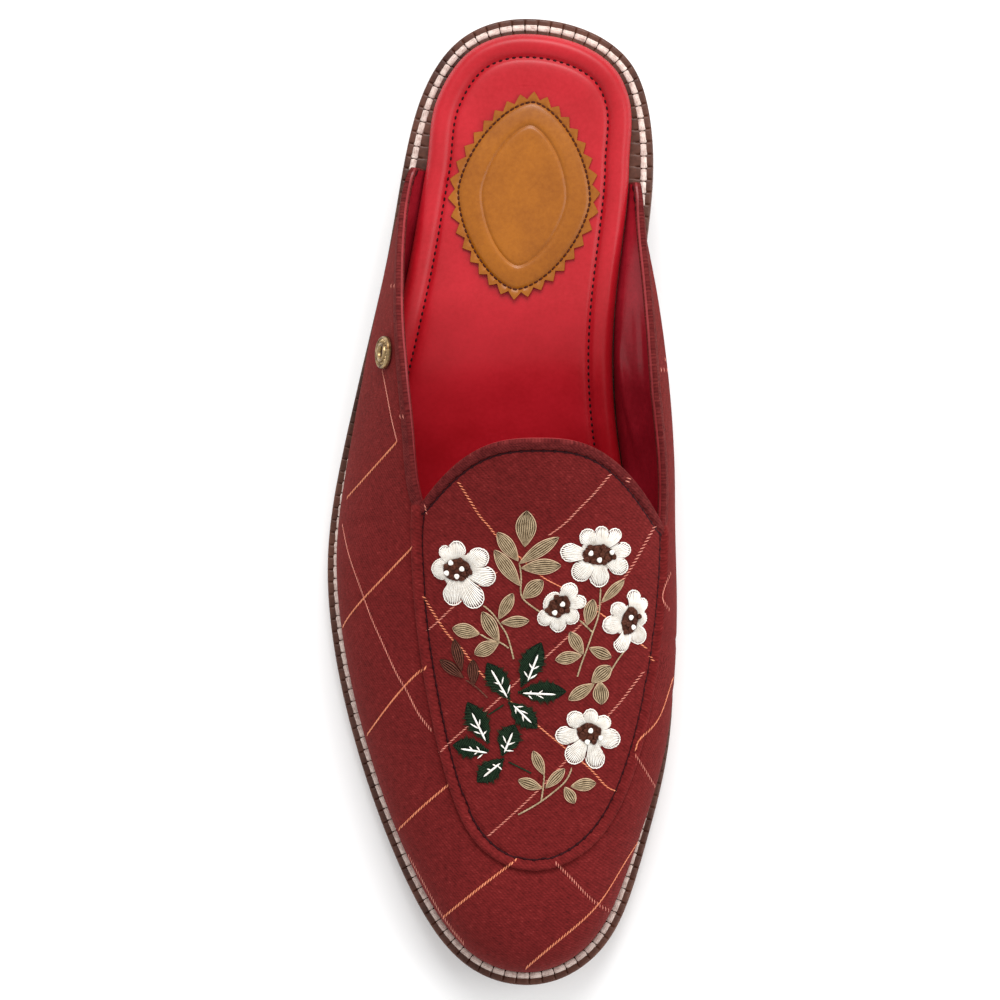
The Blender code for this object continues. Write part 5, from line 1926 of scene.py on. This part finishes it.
class Finish:
    """A node material on one Principled shader, with its colour, roughness and bump to plug in."""

    def __init__(self, name, **sockets):
        self.material = bpy.data.materials.new(name)
        self.material.use_nodes = True
        self.tree = self.material.node_tree
        self.shader = self.tree.nodes["Principled BSDF"]
        for socket, value in sockets.items():
            self.shader.inputs[socket.replace("_", " ")].default_value = value
        self.place = self.node("ShaderNodeTexCoord", {}).outputs["Object"]
        self.bumps = None

    def node(self, kind, inputs, **settings):
        made = self.tree.nodes.new(kind)
        for key, value in settings.items():
            setattr(made, key, value)
        for key, value in inputs.items():
            if isinstance(value, bpy.types.NodeSocket):
                self.tree.links.new(value, made.inputs[key])
            else:
                made.inputs[key].default_value = value
        return made

    def uv(self):
        return self.node("ShaderNodeTexCoord", {}).outputs["UV"]

    def stretched(self, vector, scale):
        return self.node("ShaderNodeMapping", {"Vector": vector, "Scale": scale}).outputs["Vector"]

    def noise(self, scale, detail, roughness, vector=None):
        inputs = {
            "Vector": vector or self.place,
            "Scale": scale,
            "Detail": detail,
            "Roughness": roughness,
        }
        return self.node("ShaderNodeTexNoise", inputs).outputs["Fac"]

    def cells(self, scale):
        inputs = {"Vector": self.place, "Scale": scale}
        return self.node("ShaderNodeTexVoronoi", inputs).outputs["Distance"]

    def bands(self, pitch, axis, distortion, detail_scale, vector=None):
        inputs = {
            "Vector": vector or self.place,
            "Scale": 2 * math.pi / 20 / pitch,
            "Distortion": distortion,
            "Detail": 2.0,
            "Detail Scale": detail_scale,
        }
        return self.node("ShaderNodeTexWave", inputs, bands_direction=axis).outputs["Fac"]

    def ramp(self, value, stops):
        made = self.node("ShaderNodeValToRGB", {"Fac": value})
        ramp = made.color_ramp
        while len(ramp.elements) < len(stops):
            ramp.elements.new(0.5)
        for element, (where, colour) in zip(ramp.elements, stops):
            element.position = where
            element.color = colour
        return made.outputs["Color"]

    def ranged(self, value, low, high, start=0.0, end=1.0):
        inputs = {"Value": value, "From Min": start, "From Max": end, "To Min": low, "To Max": high}
        return self.node("ShaderNodeMapRange", inputs).outputs["Result"]

    def maths(self, operation, first, second):
        return self.node("ShaderNodeMath", {0: first, 1: second}, operation=operation).outputs[0]

    def weighed(self, *parts):
        """Sum of values, each times its weight."""
        total = None
        for value, weight in parts:
            part = self.maths("MULTIPLY", value, weight)
            total = part if total is None else self.maths("ADD", total, part)
        return total

    def colour(self, socket):
        self.tree.links.new(socket, self.shader.inputs["Base Color"])

    def rough(self, socket):
        self.tree.links.new(socket, self.shader.inputs["Roughness"])

    def bump(self, height, strength, distance):
        inputs = {"Height": height, "Strength": strength, "Distance": distance}
        if self.bumps is not None:
            inputs["Normal"] = self.bumps
        self.bumps = self.node("ShaderNodeBump", inputs).outputs["Normal"]
        self.tree.links.new(self.bumps, self.shader.inputs["Normal"])


def grey(level):
    return (level, level, level, 1.0)


def flannel(name, pit, dark, light, fibre, weave=0.55 * MM):
    """Brushed wool cloth: twill ribs under a mottle of short fibres, some of them pale."""
    finish = Finish(name, Roughness=0.92, Sheen_Weight=0.06, Sheen_Roughness=0.5, Specular_IOR_Level=0.08)
    finish.shader.inputs["Sheen Tint"].default_value = srgb(225, 120, 100)
    cloth = finish.uv()
    twill = finish.bands(weave, "DIAGONAL", 1.4, 320, cloth)
    ribs = finish.bands(weave * 0.6, "Y", 1.6, 260, cloth)
    fibres = finish.noise(1.0, 3.0, 0.6, finish.stretched(cloth, (700, 2600, 1)))
    fuzz = finish.noise(2600, 2.0, 0.65)
    patchy = finish.noise(120, 3.0, 0.6)
    mottle = finish.noise(620, 3.0, 0.7)
    tone = finish.weighed((fibres, 0.42), (mottle, 0.34), (twill, 0.09), (ribs, 0.06), (patchy, 0.11))
    finish.colour(finish.ramp(tone, [(0.34, pit), (0.44, dark), (0.6, light), (0.74, fibre)]))
    finish.bump(twill, 0.2, 0.09 * MM)
    finish.bump(ribs, 0.2, 0.07 * MM)
    finish.bump(fibres, 0.35, 0.12 * MM)
    finish.bump(fuzz, 0.3, 0.1 * MM)
    return finish.material


def leather(name, dark, light, roughness, coat=0.0, coat_roughness=0.2, grain=1500, depth=0.05 * MM):
    """Grained leather: fine pebble, pores and soft colour variation."""
    finish = Finish(name, Coat_Weight=coat, Coat_Roughness=coat_roughness, Specular_IOR_Level=0.25)
    cloudy = finish.noise(45, 3.0, 0.55)
    speckle = finish.noise(900, 2.0, 0.6)
    tone = finish.weighed((cloudy, 0.7), (speckle, 0.3))
    finish.colour(finish.ramp(tone, [(0.36, dark), (0.64, light)]))
    pebble = finish.cells(grain)
    pores = finish.noise(grain * 1.6, 2.0, 0.6)
    finish.rough(finish.ranged(speckle, roughness - 0.06, roughness + 0.08))
    finish.bump(pebble, 0.3, depth)
    finish.bump(pores, 0.25, depth * 0.8)
    finish.bump(cloudy, 0.2, depth * 4)
    return finish.material


def edge_dressed(name, dark, light, pitch):
    """Built-up leather edge: stacked layers that show as uneven lines, waxed."""
    finish = Finish(name, Coat_Weight=0.35, Coat_Roughness=0.25)
    layers = finish.bands(pitch, "Z", 2.0, 60)
    grain = finish.noise(1.0, 3.0, 0.6, finish.stretched(finish.place, (260, 260, 2400)))
    cloudy = finish.noise(60, 3.0, 0.6)
    tone = finish.weighed((layers, 0.25), (grain, 0.45), (cloudy, 0.3))
    finish.colour(finish.ramp(tone, [(0.3, dark), (0.7, light)]))
    finish.rough(finish.ranged(grain, 0.38, 0.58))
    finish.bump(layers, 0.25, 0.12 * MM)
    finish.bump(grain, 0.3, 0.1 * MM)
    return finish.material


def yarn(name, dark, light, sheen=0.0):
    """Embroidery or sewing thread: fine strands lying along it, with a soft lustre."""
    finish = Finish(name, Roughness=0.6, Sheen_Weight=sheen, Sheen_Roughness=0.35, Specular_IOR_Level=0.1)
    laid = finish.noise(1.0, 2.0, 0.6, finish.stretched(finish.uv(), (19.8, 0.35, 1)))
    filament = finish.noise(3200, 2.0, 0.6)
    mottle = finish.noise(700, 2.0, 0.6)
    tone = finish.weighed((laid, 0.45), (mottle, 0.35), (filament, 0.2))
    finish.colour(finish.ramp(tone, [(0.36, dark), (0.58, light)]))
    finish.bump(laid, 0.45, 0.08 * MM)
    finish.bump(filament, 0.3, 0.04 * MM)
    return finish.material


def aged_metal(name, dark, light):
    """Brass with a cloudy patina, brighter where it is worn."""
    finish = Finish(name, Metallic=1.0)
    patina = finish.noise(420, 4.0, 0.65)
    scratches = finish.noise(2200, 2.0, 0.6)
    finish.colour(finish.ramp(patina, [(0.38, dark), (0.62, light)]))
    finish.rough(finish.ranged(patina, 0.48, 0.26, 0.3, 0.7))
    finish.bump(scratches, 0.2, 0.03 * MM)
    return finish.material


def rubber(name, dark, light):
    finish = Finish(name)
    speckle = finish.noise(1400, 2.0, 0.6)
    finish.colour(finish.ramp(speckle, [(0.35, dark), (0.65, light)]))
    finish.rough(finish.ranged(speckle, 0.6, 0.8))
    finish.bump(speckle, 0.3, 0.05 * MM)
    return finish.material


def floor_finish():
    finish = Finish("studio_floor", Roughness=0.9, Specular_IOR_Level=0.1)
    tone = finish.noise(3, 1.0, 0.5)
    finish.colour(finish.ramp(tone, [(0.2, grey(0.94)), (0.8, grey(0.96))]))
    return finish.material


# Stage, light and camera

def build_floor():
    half = 4.0
    corners = [(-half, -half, 0), (half, -half, 0), (half, half, 0), (-half, half, 0)]
    floor = mesh_object("studio_floor", corners, [(0, 1, 2, 3)], [floor_finish()])


def area_light(name, place, size, power):
    """Square light aimed at the origin."""
    light = bpy.data.lights.new(name, "AREA")
    light.shape = "SQUARE"
    light.size = size
    light.energy = power
    made = bpy.data.objects.new(name, light)
    made.location = place
    made.rotation_euler = (-Vector(place)).to_track_quat("-Z", "Y").to_euler()
    bpy.context.scene.collection.objects.link(made)


def build_light():
    world = bpy.data.worlds.new("studio")
    world.use_nodes = True
    background = world.node_tree.nodes["Background"]
    background.inputs["Color"].default_value = (1, 1, 1, 1)
    background.inputs["Strength"].default_value = 0.84
    bpy.context.scene.world = world
    area_light("key", (0.1, 1.5, 1.5), 1.1, 37)
    area_light("side", (1.6, 0.1, 1.2), 1.2, 13)


def build_camera():
    """The photograph's eye, turned to the one shoe."""
    data = bpy.data.cameras.new("camera")
    data.sensor_width = SENSOR
    data.lens = FOCAL / PICTURE * SENSOR
    data.clip_start = 0.05
    data.clip_end = 20
    made = bpy.data.objects.new("camera", data)
    made.location = EYE
    forward = pixel_ray(*SHOE_PIXEL)
    right = Vector((0, 1, 0)).cross(-forward).normalized()
    upward = (-forward).cross(right)
    made.rotation_euler = Matrix((right, upward, -forward)).transposed().to_euler()
    bpy.context.scene.collection.objects.link(made)
    bpy.context.scene.camera = made


def finishes():
    return {
        "cloth": flannel(
            "maroon_flannel", srgb(68, 16, 16), srgb(90, 22, 22), srgb(112, 31, 31), srgb(146, 60, 56),
        ),
        "bound": flannel(
            "binding_ribbon", srgb(52, 12, 14), srgb(76, 19, 20), srgb(104, 35, 35), srgb(140, 62, 58),
            weave=0.45 * MM,
        ),
        # crimson lining, its colour lightened to paint in the light that falls short inside the shoe
        "lining": leather(
            "lining_leather_painted_light", srgb(128, 16, 28), srgb(158, 28, 42), 0.3, coat=0.35, coat_roughness=0.22,
        ),
        "piping": leather("piping_leather", srgb(112, 24, 28), srgb(144, 44, 48), 0.4, coat=0.1),
        "footbed": leather(
            "red_footbed_leather", srgb(160, 14, 25), srgb(179, 23, 36), 0.4, coat=0.1, coat_roughness=0.3,
            grain=2200, depth=0.02 * MM,
        ),
        "welt": leather("brown_welt_leather", srgb(58, 30, 21), srgb(96, 58, 44), 0.45, coat=0.06),
        "sole": leather("brown_sole_leather", srgb(84, 48, 32), srgb(126, 78, 54), 0.5),
        "stack": edge_dressed("stacked_heel_leather", srgb(66, 34, 22), srgb(122, 74, 50), 1.6 * MM),
        "rubber": rubber("heel_rubber_black", srgb(34, 28, 26), srgb(52, 44, 40)),
        "patch": leather(
            "tan_patch_leather", srgb(130, 69, 3), srgb(155, 89, 10), 0.36, coat=0.14, coat_roughness=0.25,
            grain=2600, depth=0.02 * MM,
        ),
        "brass": aged_metal("aged_brass_ring", srgb(84, 60, 36), srgb(172, 146, 106)),
        "core": aged_metal("aged_brass_core", srgb(60, 32, 22), srgb(112, 68, 48)),
        "white": yarn("white_thread", srgb(226, 216, 202), srgb(255, 252, 246), sheen=0.1),
        "cream": yarn("cream_welt_thread", srgb(150, 120, 110), srgb(228, 210, 200)),
        "olive": yarn("olive_thread", srgb(114, 92, 66), srgb(188, 166, 134)),
        "beige": yarn("beige_rim_thread", srgb(166, 136, 108), srgb(212, 184, 152)),
        # dark backing thread: its own colour, and painted shade for the gaps between the leaf threads
        "earth": yarn("leaf_ground_thread_and_shade", srgb(34, 22, 12), srgb(58, 40, 26)),
        "green": yarn("green_thread", srgb(12, 26, 14), srgb(32, 52, 34)),
        # near-black backing thread: the leaves' dark colour, and painted shade for the gaps between their
        # threads
        "night": yarn("green_ground_thread_and_shade", srgb(5, 12, 7), srgb(12, 22, 14)),
        "brown": yarn("brown_thread", srgb(58, 28, 22), srgb(108, 62, 50)),
        "umber": yarn("dark_brown_thread", srgb(38, 16, 10), srgb(88, 49, 36)),
        "orange": yarn("orange_thread", srgb(188, 92, 60), srgb(234, 150, 112), sheen=0.1),
        "pink": yarn("pink_thread", srgb(184, 92, 78), srgb(226, 150, 132), sheen=0.1),
        "dark_red": yarn("dark_red_thread", srgb(26, 3, 7), srgb(52, 8, 14)),
        "dark_brown": yarn("patch_thread", srgb(40, 14, 8), srgb(78, 34, 20)),
    }


def main():
    finish = finishes()
    build_camera()
    build_outsole(finish["sole"])
    build_welt(finish["welt"])
    build_welt_stitches(finish["cream"])
    build_heel(finish["stack"], finish["rubber"])
    build_footbed(finish["footbed"])
    build_footbed_stitches(finish["dark_red"])
    build_patch(finish["patch"], finish["dark_brown"])
    last = Last()
    upper_finishes = [finish[name] for name in ("cloth", "bound", "lining", "piping")]
    tree, seams, toplines = build_upper(last, upper_finishes)
    ground = Ground(tree)
    build_upper_stitches_and_groove_shade(ground, seams, toplines, last, finish["dark_red"])
    build_check(ground, finish)
    build_embroidery(ground, finish)
    build_rivet(last, finish["brass"], finish["core"])
    build_floor()
    build_light()
    scene = bpy.context.scene
    scene.view_settings.view_transform = "Standard"


main()
